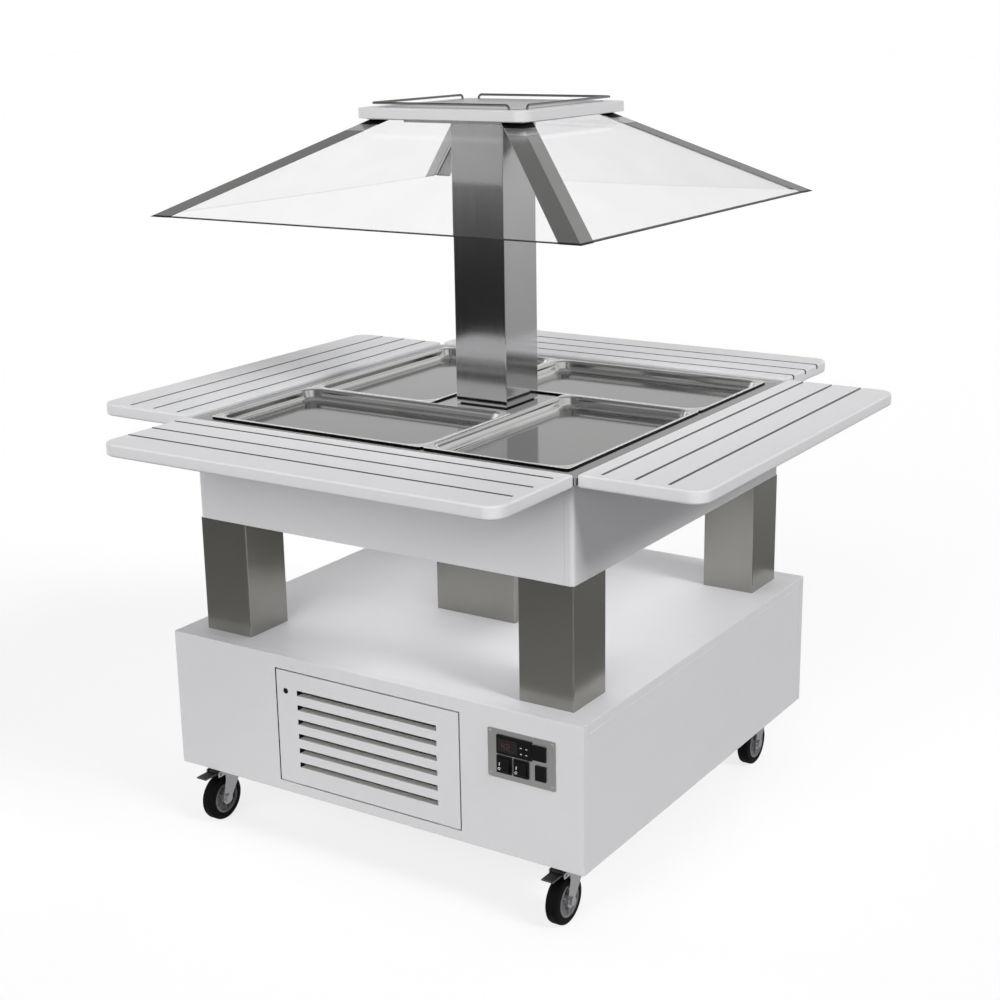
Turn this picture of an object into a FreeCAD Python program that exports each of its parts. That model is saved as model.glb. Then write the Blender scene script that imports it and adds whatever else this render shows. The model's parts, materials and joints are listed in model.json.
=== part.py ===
"""Self-service display case: a cooled food well on a wheeled base, with folding shelves and a clear canopy.

Millimetres, +Z up. The origin is on the floor under the middle of the case, and the front faces -Y.
"""
import FreeCAD
import Part
import Sketcher
import math
import os
import re

SIZES = {
    # Base box of laminated board, on castors
    "caster_rise": 32,
    "base_width": 1000,
    "base_height": 300,
    "board": 19,
    # Grille door in the base front
    "door_width": 448,
    "door_rise": 25,
    "door_drop": 31,
    "door_thickness": 16,
    "door_gap": 3,
    "louvre_length": 344,
    "louvre_slot": 12,
    "louvre_pitch": 31.5,
    "pivot_inset": 6,
    "pivot_radius": 3,
    "pivot_depth": 12,
    "lock_inset": 24,
    "lock_drop": 43,
    "lock_radius": 6,
    "lock_proud": 1.5,
    "cam_length": 40,
    "cam_sheet": 3,
    # Control plate, with the places of what is set in it
    "control_shift": 12.5,
    "control_drop": 92,
    "control_width": 150,
    "control_height": 100,
    "control_sheet": 2,
    "control_round": 4,
    "cutout_margin": 10,
    "device_margin": 21,
    "device_row": 20,
    "device_lip": 2,
    "device_proud": 3,
    "device_depth": 28,
    "thermostat_width": 78,
    "thermostat_height": 38,
    "switch_width": 33,
    "switch_height": 35,
    "switch_wall": 1.2,
    "wide_block": 28,
    "block_width": 23,
    "block_height": 30,
    "rocker_proud": 3,
    "rocker_sink": 4,
    "rocker_play": 0.4,
    # Back panel: air slots and the cable's gland
    "vent_length": 400,
    "vent_slot": 10,
    "vent_pitch": 26,
    "vent_rise": 170,
    "gland_inset": 120,
    "gland_rise": 70,
    "gland_radius": 10,
    "gland_nut": 15,
    "gland_nut_height": 6,
    "gland_bore": 4,
    # Legs and the middle duct
    "leg_side": 120,
    "leg_wall": 2,
    "leg_height": 245,
    "duct_side": 200,
    "duct_wall": 2,
    # Cabinet round the well
    "cabinet_width": 900,
    "cabinet_height": 208,
    "cabinet_round": 8,
    # Well, its flange and what lies in it
    "foam_floor": 31,
    "tub_sheet": 2,
    "flange_overhang": 13,
    "lip_height": 15,
    "rim_rest": 13.5,
    "cold_sheet": 3,
    "cold_margin": 20,
    "bar_width": 24,
    "cross_sheet": 6,
    # Food pans, which come out at the standard 530 x 325 size
    "pan_strip": 22.5,
    "hub_margin": 2.5,
    "pan_gap": 2,
    "pan_depth": 20,
    "pan_sheet": 1.5,
    "pan_margin": 13,
    "pan_rim_round": 14,
    "pan_round": 38,
    "pan_floor_round": 9,
    # Folding shelves and their hinges
    "shelf_over": 8,
    "shelf_depth": 247,
    "shelf_thickness": 26,
    "shelf_gap": 15,
    "shelf_rise": 7,
    "shelf_round": 34,
    "groove_width": 7,
    "groove_depth": 10,
    "groove_first": 40,
    "groove_pitch": 66,
    "groove_stop": 16,
    "strap_across": 280,
    "strap_width": 40,
    "strap_length": 190,
    "strap_sheet": 4,
    "hinge_out": 7.5,
    "hinge_barrel": 5,
    "hinge_pin": 3,
    "hinge_plate": 2,
    "hinge_ear": 6,
    "hinge_drop": 30,
    # Post, head and canopy
    "post_side": 125,
    "post_wall": 2,
    "post_end": 3,
    "foot_height": 9,
    "foot_inset": 6,
    "foot_wall": 12,
    "canopy_clear": 415,
    "canopy_width": 980,
    "canopy_rise": 176,
    "canopy_top": 350,
    "pane": 5,
    "pane_gap": 8,
    "hip_sheet": 1.5,
    "hip_flange": 31,
    "head_sheet": 3,
    "head_overlap": 8,
    "lamp_width": 260,
    "lamp_height": 10,
    # Top board with its plate and wire rails
    "top_width": 406,
    "top_thickness": 20,
    "top_round": 30,
    "top_sheet": 1.5,
    "top_margin": 39,
    "rail_inset": 28,
    "rail_height": 9,
    "rail_wire": 2.5,
    "rail_end": 25,
    "rail_bend": 8,
    # Castors
    "caster_side_inset": 68,
    "caster_end_inset": 76,
    "caster_plate": 3,
    "caster_plate_width": 84,
    "race_radius": 26,
    "race_height": 10,
    "king_radius": 6,
    "king_head_radius": 11,
    "king_head": 5,
    "crown_radius": 27,
    "crown_sheet": 4,
    "crown_front": 24,
    "crown_back": 34,
    "wheel_radius": 50,
    "wheel_width": 27,
    "tread_round": 6,
    "hub_radius": 34,
    "hub_rim": 5,
    "hub_web": 16,
    "hub_boss": 13,
    "trail": 37,
    "cheek_sheet": 2.5,
    "cheek_gap": 2,
    "fork_boss": 14,
    "axle_radius": 5,
    "axle_head_radius": 9,
    "axle_head": 5,
    "pedal_out": 18,
    "pedal_up": 62,
    "pedal_pin": 3,
    "pedal_length": 42,
    "pedal_width": 26,
    "pedal_sheet": 3,
    "pedal_boss": 5,
    # Cooling unit inside the base
    "condenser_width": 330,
    "condenser_height": 200,
    "condenser_depth": 44,
    "condenser_back": 70,
    "condenser_frame": 6,
    "fin_pitch": 11,
    "fin_sheet": 3,
    "shroud_gap": 10,
    "shroud_sheet": 2,
    "shroud_rim": 8,
    "fan_tip_gap": 6,
    "fan_width": 26,
    "fan_hub": 22,
    "blade_sheet": 3,
    "shaft_radius": 4,
    "motor_radius": 36,
    "motor_length": 60,
    "motor_gap": 6,
    "bracket_width": 30,
    "compressor_across": 210,
    "compressor_back": 170,
    "compressor_radius": 90,
    "compressor_height": 170,
    "compressor_shoulder": 40,
    "compressor_foot": 220,
    "compressor_foot_sheet": 8,
    # Clearances
    "fit_gap": 0.05,
    "run_gap": 0.3,
}

LOUVRE_COUNT = 6
VENT_COUNT = 5
GROOVE_COUNT = 3
BLADE_COUNT = 5
BLADE_PITCH_DEG = 35
ROCKER_TILT_DEG = 8

UP = FreeCAD.Vector(0, 0, 1)
ALONG = {
    "x": FreeCAD.Rotation(FreeCAD.Vector(0, 1, 0), 90),
    "y": FreeCAD.Rotation(FreeCAD.Vector(1, 0, 0), -90),
    "z": FreeCAD.Rotation(),
}

doc = FreeCAD.newDocument("display_case")
dims = doc.addObject("Spreadsheet::Sheet", "dims")
for row, (alias, value) in enumerate(SIZES.items(), 1):
    dims.set(f"A{row}", alias)
    dims.set(f"B{row}", str(value))
    dims.setAlias(f"B{row}", alias)
doc.recompute()

nodes = []


# Ways of making solids

def bind(item, prop, formula):
    """Tie a property to a formula in which each size name stands for its cell of the sheet."""
    named = re.sub(r"[a-z_]+", lambda word: f"dims.{word[0]}" if word[0] in SIZES else word[0], formula)
    item.setExpression(prop, named)


def move(item, place):
    """Bind an item's place to three formulas."""
    for axis, formula in zip("xyz", place):
        bind(item, f"Placement.Base.{axis}", formula)
    return item


def slab(name, x, y, z):
    """A box from a low to a high formula along each axis."""
    item = doc.addObject("Part::Box", name)
    for prop, (low, high) in zip(("Length", "Width", "Height"), (x, y, z)):
        bind(item, prop, f"({high}) - ({low})")
    return move(item, (x[0], y[0], z[0]))


def both(half):
    """The low and high formulas of a span centred on zero."""
    return (f"-({half})", f"{half}")


def span(centre, width):
    """The low and high formulas of a span of a given width about a centre."""
    return (f"({centre}) - ({width}) / 2", f"({centre}) + ({width}) / 2")


def both_about(centre, half):
    """The low and high formulas of a span of a given half width about a centre."""
    return (f"({centre}) - ({half})", f"({centre}) + ({half})")


def rod(name, axis, radius, start, length):
    """A cylinder that runs from start along one axis."""
    item = doc.addObject("Part::Cylinder", name)
    item.Placement = FreeCAD.Placement(FreeCAD.Vector(), ALONG[axis])
    bind(item, "Radius", radius)
    bind(item, "Height", length)
    return move(item, start)


def frustum(name, low, high, x, y, x_top, y_top):
    """A block between heights low and high whose rectangle changes from x, y to x_top, y_top."""
    item = doc.addObject("Part::Wedge", name)
    item.Placement = FreeCAD.Placement(FreeCAD.Vector(), FreeCAD.Rotation(FreeCAD.Vector(1, 0, 0), 90))
    # The wedge rises along its own Y, and its own Z then points along -Y
    spans = {
        "X": x, "X2": x_top, "Y": (low, high),
        "Z": (f"-({y[1]})", f"-({y[0]})"), "Z2": (f"-({y_top[1]})", f"-({y_top[0]})"),
    }
    # A wedge refuses crossed spans, so the upper ends are bound before the lower ones
    for key, (first, last) in spans.items():
        bind(item, f"{key}max", last)
        bind(item, f"{key}min", first)
    return item


def fuse(name, *items):
    """One solid from touching or crossing solids."""
    item = doc.addObject("Part::MultiFuse", name)
    item.Shapes = list(items)
    item.Refine = True
    return item


def cut(name, base, *tools):
    """A solid less one or more tools."""
    item = doc.addObject("Part::Cut", name)
    item.Base = base
    item.Tool = tools[0] if len(tools) == 1 else fuse(f"{name}_tools", *tools)
    item.Refine = True
    return item


def common(name, first, second):
    """What two solids share."""
    item = doc.addObject("Part::Common", name)
    item.Base = first
    item.Tool = second
    item.Refine = True
    return item


def group(name, *items):
    """Separate solids that belong to one sub-part."""
    item = doc.addObject("Part::Compound", name)
    item.Links = list(items)
    return item


def turn(item, angle, axis=UP):
    """Turn an item about an axis through the origin."""
    item.Placement = FreeCAD.Placement(FreeCAD.Vector(), FreeCAD.Rotation(axis, angle))
    return item


def rounded(name, base, radius, chosen):
    """Round the chosen edges of a solid, with a radius from the sheet."""
    doc.recompute()
    size = dims.get(radius)
    item = doc.addObject("Part::Fillet", name)
    item.Base = base
    item.Edges = [(i, size, size) for i, edge in enumerate(base.Shape.Edges, 1) if chosen(edge)]
    return item


def runs_along(axis):
    """A test for edges that are parallel to an axis."""
    others = [other for other in "xyz" if other != axis]

    def test(edge):
        ends = [vertex.Point for vertex in edge.Vertexes]
        return len(ends) == 2 and all(abs(getattr(ends[0], o) - getattr(ends[1], o)) < 1e-6 for o in others)
    return test


def tube(name, x, y, z, wall):
    """A rectangular tube, open at both ends."""
    inside = [(f"{low} + {wall}", f"{high} - {wall}") for low, high in (x, y)]
    return cut(name, slab(f"{name}_outside", x, y, z), slab(f"{name}_inside", *inside, z))


def lathe(name, profile):
    """A body turned about Z from a profile of (radius, height) formulas."""
    body = doc.addObject("PartDesign::Body", name)
    sketch = body.newObject("Sketcher::SketchObject", f"{name}_profile")
    plane = [item for item in body.Origin.OriginFeatures if item.Role == "XZ_Plane"][0]
    sketch.AttachmentSupport = [(plane, "")]
    sketch.MapMode = "FlatFace"
    count = len(profile)
    start = [FreeCAD.Vector(10 + math.cos(math.tau * i / count), math.sin(math.tau * i / count), 0)
             for i in range(count)]
    for i in range(count):
        sketch.addGeometry(Part.LineSegment(start[i], start[(i + 1) % count]), False)
    for i in range(count):
        sketch.addConstraint(Sketcher.Constraint("Coincident", i, 2, (i + 1) % count, 1))
    for i, (radius, height) in enumerate(profile):
        for kind, line, formula in (("DistanceX", -2, radius), ("DistanceY", -1, height)):
            if formula == "0":
                sketch.addConstraint(Sketcher.Constraint("PointOnObject", i, 1, line))
            else:
                index = sketch.addConstraint(Sketcher.Constraint(kind, -1, 1, i, 1, 1.0 + i))
                bind(sketch, f"Constraints[{index}]", formula)
    turned = body.newObject("PartDesign::Revolution", f"{name}_turned")
    turned.Profile = sketch
    turned.ReferenceAxis = (sketch, ["V_Axis"])
    turned.Angle = 360
    return body


def node(label, item):
    """Name an item as one of the sub-parts that are written out."""
    item.Label = label
    nodes.append(item)
    return item


# Places that several sub-parts share

CASTER_TOP = "(2 * wheel_radius + caster_rise)"
HALF_BASE = "(base_width / 2)"
BASE_INSIDE = "(base_width / 2 - board)"
FLOOR_TOP = f"({CASTER_TOP} + board)"
BASE_TOP = f"({CASTER_TOP} + base_height)"
CABINET_LOW = f"({BASE_TOP} + leg_height)"
CABINET_TOP = f"({CABINET_LOW} + cabinet_height)"
HALF_CABINET = "(cabinet_width / 2)"
CABINET_INSIDE = "(cabinet_width / 2 - board)"
CABINET_FLOOR_TOP = f"({CABINET_LOW} + board)"
RIM = f"({CABINET_TOP} + tub_sheet)"
HALF_DUCT = "(duct_side / 2)"
DUCT_HOLE = "(duct_side / 2 + fit_gap)"
HALF_PANS = "(cabinet_width / 2 - pan_strip)"
HALF_WELL = f"({HALF_PANS} - rim_rest)"
WELL_LOW = f"({CABINET_FLOOR_TOP} + foam_floor)"
PAN_HUB = f"({HALF_DUCT} + hub_margin)"
CANOPY_LOW = f"({RIM} + canopy_clear)"
HEAD_LOW = f"({CANOPY_LOW} + canopy_rise)"
TOP_LOW = f"({HEAD_LOW} + head_sheet)"
TOP_HIGH = f"({TOP_LOW} + top_thickness)"
SIDES = ("front", "right", "back", "left")
CORNERS = ("front_left", "front_right", "back_right", "back_left")


# Base box: front and back panels full height, sides and deck between them

DOOR_LOW = f"({CASTER_TOP} + door_rise)"
DOOR_TOP = f"({BASE_TOP} - door_drop)"
DOOR_BACK = f"(-{HALF_BASE} + door_thickness)"
PIVOT_X = "(door_width / 2 - pivot_inset)"
PIVOT_Y = f"(-{HALF_BASE} + pivot_inset)"
DOORWAY_HALF = "(door_width / 2 + door_gap)"
CONTROL_X = f"(({DOORWAY_HALF} + {BASE_INSIDE}) / 2 + control_shift)"
CONTROL_Z = f"({BASE_TOP} - control_drop)"
THROUGH_FRONT = (f"-{HALF_BASE} - board", f"-{HALF_BASE} + 2 * board")
THROUGH_BACK = (f"{HALF_BASE} - 2 * board", f"{HALF_BASE} + board")

pin_length = "(2 * pivot_depth + door_gap)"
pin_starts = (f"{DOOR_LOW} - door_gap - pivot_depth", f"{DOOR_TOP} - pivot_depth")


def pivot_rods(name, radius):
    """The two upright rods of the door's pivots, as pins or as the tools for their holes."""
    return [rod(f"{name}_{i}", "z", radius, (PIVOT_X, PIVOT_Y, low), pin_length)
            for i, low in enumerate(pin_starts)]


node("base_front_panel", cut(
    "base_front_panel",
    slab("front_board", both(HALF_BASE), (f"-{HALF_BASE}", f"-{BASE_INSIDE}"), (CASTER_TOP, BASE_TOP)),
    slab("doorway", both(DOORWAY_HALF), THROUGH_FRONT,
         (f"{DOOR_LOW} - door_gap", f"{DOOR_TOP} + door_gap")),
    slab("control_cutout", span(CONTROL_X, "control_width - 2 * cutout_margin"), THROUGH_FRONT,
         span(CONTROL_Z, "control_height - 2 * cutout_margin")),
    *pivot_rods("panel_pivot_hole", "pivot_radius"),
))

vents = [slab(f"vent_{i}", both("vent_length / 2"), THROUGH_BACK,
              span(f"{CASTER_TOP} + vent_rise + {i - (VENT_COUNT - 1) / 2} * vent_pitch", "vent_slot"))
         for i in range(VENT_COUNT)]
GLAND_X = f"(gland_inset - {HALF_BASE})"
GLAND_Z = f"({CASTER_TOP} + gland_rise)"
gland_place = (GLAND_X, f"{HALF_BASE} - 2 * board", GLAND_Z)
node("base_back_panel", cut(
    "base_back_panel",
    slab("back_board", both(HALF_BASE), (BASE_INSIDE, HALF_BASE), (CASTER_TOP, BASE_TOP)),
    *vents,
    rod("gland_hole", "y", "gland_radius", gland_place, "4 * board"),
))

node("base_side_panels", group("base_side_panels", *(
    slab(f"base_side_{name}", x, both(BASE_INSIDE), (CASTER_TOP, f"{BASE_TOP} - board"))
    for name, x in (("left", (f"-{HALF_BASE}", f"-{BASE_INSIDE}")), ("right", (BASE_INSIDE, HALF_BASE)))
)))

node("base_deck", cut(
    "base_deck",
    slab("deck_board", both(HALF_BASE), both(BASE_INSIDE), (f"{BASE_TOP} - board", BASE_TOP)),
    slab("deck_hole", both(f"{HALF_DUCT} - 2 * duct_wall"), both(f"{HALF_DUCT} - 2 * duct_wall"),
         (f"{BASE_TOP} - 2 * board", f"{BASE_TOP} + board")),
))

node("base_floor", slab("base_floor", both(BASE_INSIDE), both(BASE_INSIDE), (CASTER_TOP, FLOOR_TOP)))


# Grille door on its pivots, with the turn lock

LOCK_X = "(-door_width / 2 + lock_inset)"
LOCK_Z = f"({DOOR_TOP} - lock_drop)"
CAM_Y = f"(-{BASE_INSIDE} + run_gap)"
THROUGH_DOOR = (f"-{HALF_BASE} - board", f"{DOOR_BACK} + board")

DOOR_MIDDLE = f"(({DOOR_LOW} + {DOOR_TOP}) / 2)"
louvres = [slab(f"louvre_{i}", both("louvre_length / 2"), THROUGH_DOOR,
                span(f"{DOOR_MIDDLE} + {i - (LOUVRE_COUNT - 1) / 2} * louvre_pitch", "louvre_slot"))
           for i in range(LOUVRE_COUNT)]
node("grille_door", cut(
    "grille_door",
    slab("door_board", both("door_width / 2"), (f"-{HALF_BASE}", DOOR_BACK), (DOOR_LOW, DOOR_TOP)),
    *louvres,
    rod("lock_hole", "y", "lock_radius + fit_gap", (LOCK_X, f"-{HALF_BASE} - board", LOCK_Z), "3 * board"),
    *pivot_rods("door_pivot_hole", "pivot_radius + fit_gap"),
))
node("door_pivots", group("door_pivots", *pivot_rods("door_pivot", "pivot_radius")))
node("door_lock", fuse(
    "door_lock",
    rod("lock_barrel", "y", "lock_radius", (LOCK_X, f"-{HALF_BASE} - lock_proud", LOCK_Z),
        f"{CAM_Y} + cam_sheet + {HALF_BASE} + lock_proud"),
    slab("lock_cam", span(LOCK_X, "2 * lock_radius"), (CAM_Y, f"{CAM_Y} + cam_sheet"),
         (f"{LOCK_Z} + lock_radius - cam_length", f"{LOCK_Z} + lock_radius")),
))


# Control plate and the devices that are clipped into it

PLATE_FACE = f"(-{HALF_BASE} - control_sheet)"
DEVICE_FACE = f"({PLATE_FACE} - device_proud)"
DEVICE_BACK = f"({PLATE_FACE} + device_depth)"
DEVICES_LEFT = f"({CONTROL_X} - control_width / 2 + device_margin)"
DEVICES_RIGHT = f"({CONTROL_X} + control_width / 2 - device_margin)"
UPPER_ROW = f"({CONTROL_Z} + device_row)"
LOWER_ROW = f"({CONTROL_Z} - device_row)"

thermostat_at = (f"{DEVICES_LEFT} + thermostat_width / 2", UPPER_ROW, "thermostat_width", "thermostat_height")
switches_at = {
    "power": (f"{DEVICES_LEFT} + switch_width / 2", LOWER_ROW, "switch_width", "switch_height"),
    "lamp": (CONTROL_X, LOWER_ROW, "switch_width", "switch_height"),
}
blocks_at = {
    "upper": (f"{DEVICES_RIGHT} - wide_block / 2", UPPER_ROW, "wide_block", "block_height"),
    "lower": (f"{DEVICES_RIGHT} - block_width / 2", LOWER_ROW, "block_width", "block_height"),
}
all_devices = [thermostat_at, *switches_at.values(), *blocks_at.values()]


def device(name, across, height_at, width, height):
    """A clipped-in device: a bezel on the plate and a narrower body through it."""
    return fuse(
        name,
        slab(f"{name}_bezel", span(across, width), (DEVICE_FACE, PLATE_FACE), span(height_at, height)),
        slab(f"{name}_body", span(across, f"{width} - 2 * device_lip"), (PLATE_FACE, DEVICE_BACK),
             span(height_at, f"{height} - 2 * device_lip")),
    )


device_holes = [
    slab(f"device_hole_{i}", span(across, f"{width} - 2 * device_lip + 2 * fit_gap"),
         (f"{PLATE_FACE} - control_sheet", f"{PLATE_FACE} + 2 * control_sheet"),
         span(height_at, f"{height} - 2 * device_lip + 2 * fit_gap"))
    for i, (across, height_at, width, height) in enumerate(all_devices)
]
control_blank = slab("control_blank", span(CONTROL_X, "control_width"), (PLATE_FACE, f"-{HALF_BASE}"),
                     span(CONTROL_Z, "control_height"))
node("control_plate", cut(
    "control_plate",
    rounded("control_rounded", control_blank, "control_round", runs_along("y")),
    *device_holes,
))
node("thermostat", device("thermostat", *thermostat_at))

ROCKER_Y = f"({DEVICE_FACE} + rocker_sink)"
ROCKER_REACH = "(switch_height / 2 - device_lip - switch_wall - rocker_play)"
ROCKER_HALF = "(switch_width / 2 - device_lip - switch_wall - rocker_play)"


def switch_frame(name, across, height_at, width, height):
    """A switch's frame, hollow in front for its rocker."""
    return cut(
        f"{name}_frame",
        device(f"{name}_solid", across, height_at, width, height),
        slab(f"{name}_hollow", both_about(across, f"{ROCKER_HALF} + rocker_play"),
             (f"{DEVICE_FACE} - device_proud", f"{ROCKER_Y} + {ROCKER_REACH} + rocker_play"),
             both_about(height_at, f"{ROCKER_REACH} + rocker_play")),
    )


node("switch_blocks", group(
    "switch_blocks",
    *(switch_frame(name, *place) for name, place in switches_at.items()),
    *(device(f"{name}_block", *place) for name, place in blocks_at.items()),
))

for name, (across, height_at, _, _) in switches_at.items():
    rocker = common(
        f"{name}_rocker",
        slab(f"{name}_cap", both(ROCKER_HALF), ("-rocker_sink - rocker_proud", "rocker_sink"),
             both(ROCKER_REACH)),
        rod(f"{name}_swing", "x", ROCKER_REACH, (f"-{ROCKER_HALF}", "0", "0"), f"2 * {ROCKER_HALF}"),
    )
    turn(rocker, -ROCKER_TILT_DEG, FreeCAD.Vector(1, 0, 0))
    node(f"{name}_rocker", move(rocker, (across, ROCKER_Y, height_at)))


# Cable gland in the back panel, where the mains cable enters

gland_inner = (GLAND_X, f"{BASE_INSIDE} - gland_nut_height", GLAND_Z)
gland_outer = (GLAND_X, HALF_BASE, GLAND_Z)
node("cable_gland", cut(
    "cable_gland",
    fuse("gland_solid",
         rod("gland_thread", "y", "gland_radius", gland_inner, "board + 2 * gland_nut_height"),
         rod("gland_inner_nut", "y", "gland_nut", gland_inner, "gland_nut_height"),
         rod("gland_outer_nut", "y", "gland_nut", gland_outer, "gland_nut_height")),
    rod("gland_through", "y", "gland_bore", gland_place, "4 * board"),
))


# Legs flush with the cabinet's corners, and the wider duct in the middle

leg_span = (f"-{HALF_CABINET}", f"-{HALF_CABINET} + leg_side")
node("legs", group("legs", *(
    turn(tube(f"leg_{corner}", leg_span, leg_span, (BASE_TOP, CABINET_LOW), "leg_wall"), 90 * quarter)
    for quarter, corner in enumerate(CORNERS)
)))

CROSS_LOW = f"({RIM} - cross_sheet)"
node("centre_duct", tube("centre_duct", both(HALF_DUCT), both(HALF_DUCT), (BASE_TOP, CROSS_LOW), "duct_wall"))


# Cabinet: side panels cover the ends of the front and back panels

CABINET_HEIGHTS = (CABINET_LOW, CABINET_TOP)


def outer_upright(edge):
    """True for the two upright edges on the outer face of the right-hand side panel."""
    return runs_along("z")(edge) and edge.Vertexes[0].Point.x > dims.get("cabinet_width") / 2 - 1e-6


def cabinet_side(name, angle):
    """One side panel with its outer corners rounded."""
    blank = slab(f"{name}_blank", (CABINET_INSIDE, HALF_CABINET), both(HALF_CABINET), CABINET_HEIGHTS)
    return turn(rounded(name, blank, "cabinet_round", outer_upright), angle)


node("cabinet_side_panels", group("cabinet_side_panels", cabinet_side("cabinet_right", 0),
                                  cabinet_side("cabinet_left", 180)))
node("cabinet_end_panels", group("cabinet_end_panels", *(
    slab(f"cabinet_{name}", both(CABINET_INSIDE), y, CABINET_HEIGHTS)
    for name, y in (("front", (f"-{HALF_CABINET}", f"-{CABINET_INSIDE}")),
                    ("back", (CABINET_INSIDE, HALF_CABINET)))
)))


def duct_hole(name, low, high):
    """The tool that lets the middle duct through a layer of the cabinet."""
    return slab(name, both(DUCT_HOLE), both(DUCT_HOLE), (f"{low} - board", f"{high} + board"))


node("cabinet_floor", cut(
    "cabinet_floor",
    slab("cabinet_floor_board", both(CABINET_INSIDE), both(CABINET_INSIDE), (CABINET_LOW, CABINET_FLOOR_TOP)),
    duct_hole("cabinet_floor_hole", CABINET_LOW, CABINET_FLOOR_TOP),
))


# Well: a welded tub with a flange over the cabinet and a turned-down lip, in its insulation

TUB_HALF = f"({HALF_WELL} + tub_sheet)"
TUB_FLOOR = f"({WELL_LOW} + tub_sheet)"
FLANGE_HALF = f"({HALF_CABINET} + flange_overhang)"
LIP_HEIGHTS = (f"{RIM} - lip_height", RIM)

tub_skin = fuse(
    "tub_skin",
    slab("tub_box", both(TUB_HALF), both(TUB_HALF), (WELL_LOW, RIM)),
    slab("tub_flange", both(FLANGE_HALF), both(FLANGE_HALF), (CABINET_TOP, RIM)),
    tube("tub_lip", both(FLANGE_HALF), both(FLANGE_HALF), LIP_HEIGHTS, "tub_sheet"),
)
node("well_tub", cut(
    "well_tub", tub_skin,
    slab("tub_hollow", both(HALF_WELL), both(HALF_WELL), (TUB_FLOOR, f"{RIM} + board")),
    duct_hole("tub_hole", WELL_LOW, TUB_FLOOR),
))

node("well_insulation", cut(
    "well_insulation",
    slab("foam_block", both(CABINET_INSIDE), both(CABINET_INSIDE), (CABINET_FLOOR_TOP, CABINET_TOP)),
    slab("foam_hollow", both(TUB_HALF), both(TUB_HALF), (WELL_LOW, f"{RIM} + board")),
    duct_hole("foam_hole", CABINET_FLOOR_TOP, WELL_LOW),
))

COLD_HALF = f"({HALF_WELL} - cold_margin)"
node("cold_plate", cut(
    "cold_plate",
    slab("cold_blank", both(COLD_HALF), both(COLD_HALF), (TUB_FLOOR, f"{TUB_FLOOR} + cold_sheet")),
    duct_hole("cold_hole", TUB_FLOOR, f"{TUB_FLOOR} + cold_sheet"),
))


# Support cross: a plate on the duct and one bar along each joint between two pans

CROSS_HEIGHTS = (CROSS_LOW, RIM)
CROSS_HALF = f"({PAN_HUB} + bar_width / 2)"
FOOT_HALF = "(post_side / 2 - foot_inset)"
CABLE_WAY = f"({FOOT_HALF} - foot_wall)"
cross_bars = [
    turn(group(f"cross_bar_{quarter}", slab(f"cross_bar_blank_{quarter}", span(PAN_HUB, "bar_width"),
                                            (f"-{HALF_WELL}", f"-{PAN_HUB}"), CROSS_HEIGHTS)), 90 * quarter)
    for quarter in range(4)
]
node("pan_support_cross", cut(
    "pan_support_cross",
    fuse("cross_welded", slab("cross_plate", both(CROSS_HALF), both(CROSS_HALF), CROSS_HEIGHTS), *cross_bars),
    slab("cross_cable_hole", both(CABLE_WAY), both(CABLE_WAY), (f"{CROSS_LOW} - board", f"{RIM} + board")),
))


# Food pans, set as a pinwheel: each is the last one turned by a quarter

PAN_TOP = f"({RIM} + pan_sheet)"
PAN_LOW = f"({PAN_TOP} - pan_depth - pan_sheet)"
PAN_X = (f"-{HALF_PANS} + pan_gap / 2", f"{PAN_HUB} - pan_gap / 2")
PAN_Y = (f"-{HALF_PANS} + pan_gap / 2", f"-{PAN_HUB} - pan_gap / 2")


def inset(ends, margin):
    """A span drawn in by a margin at both ends."""
    return (f"{ends[0]} + {margin}", f"{ends[1]} - {margin}")


def basin(name, margin, low, high, corner, floor_round):
    """A rounded box as deep as a pan, with its lower edges rounded too."""
    blank = slab(f"{name}_blank", inset(PAN_X, margin), inset(PAN_Y, margin), (low, high))
    sides = rounded(f"{name}_sides", blank, corner, runs_along("z"))
    doc.recompute()
    bottom = sides.Shape.BoundBox.ZMin

    def on_floor(edge):
        return edge.BoundBox.ZMax < bottom + 1e-3
    return rounded(name, sides, floor_round, on_floor)


for quarter, corner in enumerate(CORNERS):
    pan = f"pan_{corner}"
    rim_blank = slab(f"{pan}_rim_blank", PAN_X, PAN_Y, (RIM, PAN_TOP))
    rim = rounded(f"{pan}_rim", rim_blank, "pan_rim_round", runs_along("z"))
    outside = basin(f"{pan}_outside", "pan_margin", PAN_LOW, RIM, "pan_round", "pan_floor_round")
    inside = basin(f"{pan}_inside", "(pan_margin + pan_sheet)", f"{PAN_LOW} + pan_sheet",
                   f"{PAN_TOP} + pan_depth", "pan_round", "pan_floor_round")
    node(pan, turn(cut(pan, fuse(f"{pan}_pressed", rim, outside), inside), 90 * quarter))


# Folding shelves: a grooved board on two straps, hinged low on the cabinet's side

SHELF_TOP = f"({RIM} + shelf_rise)"
SHELF_LOW = f"({SHELF_TOP} - shelf_thickness)"
HALF_SHELF = f"({HALF_CABINET} + shelf_over)"
SHELF_INNER = f"({HALF_CABINET} + shelf_gap)"
SHELF_OUTER = f"({SHELF_INNER} + shelf_depth)"
HINGE_Y = f"(-{HALF_CABINET} - hinge_out)"
HINGE_Z = f"({SHELF_LOW} - strap_sheet)"
SHELF_HEIGHTS = (SHELF_LOW, SHELF_TOP)
CLOSED_GROOVE_END = {"front": 1, "right": -1, "back": 1, "left": 1}


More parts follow.
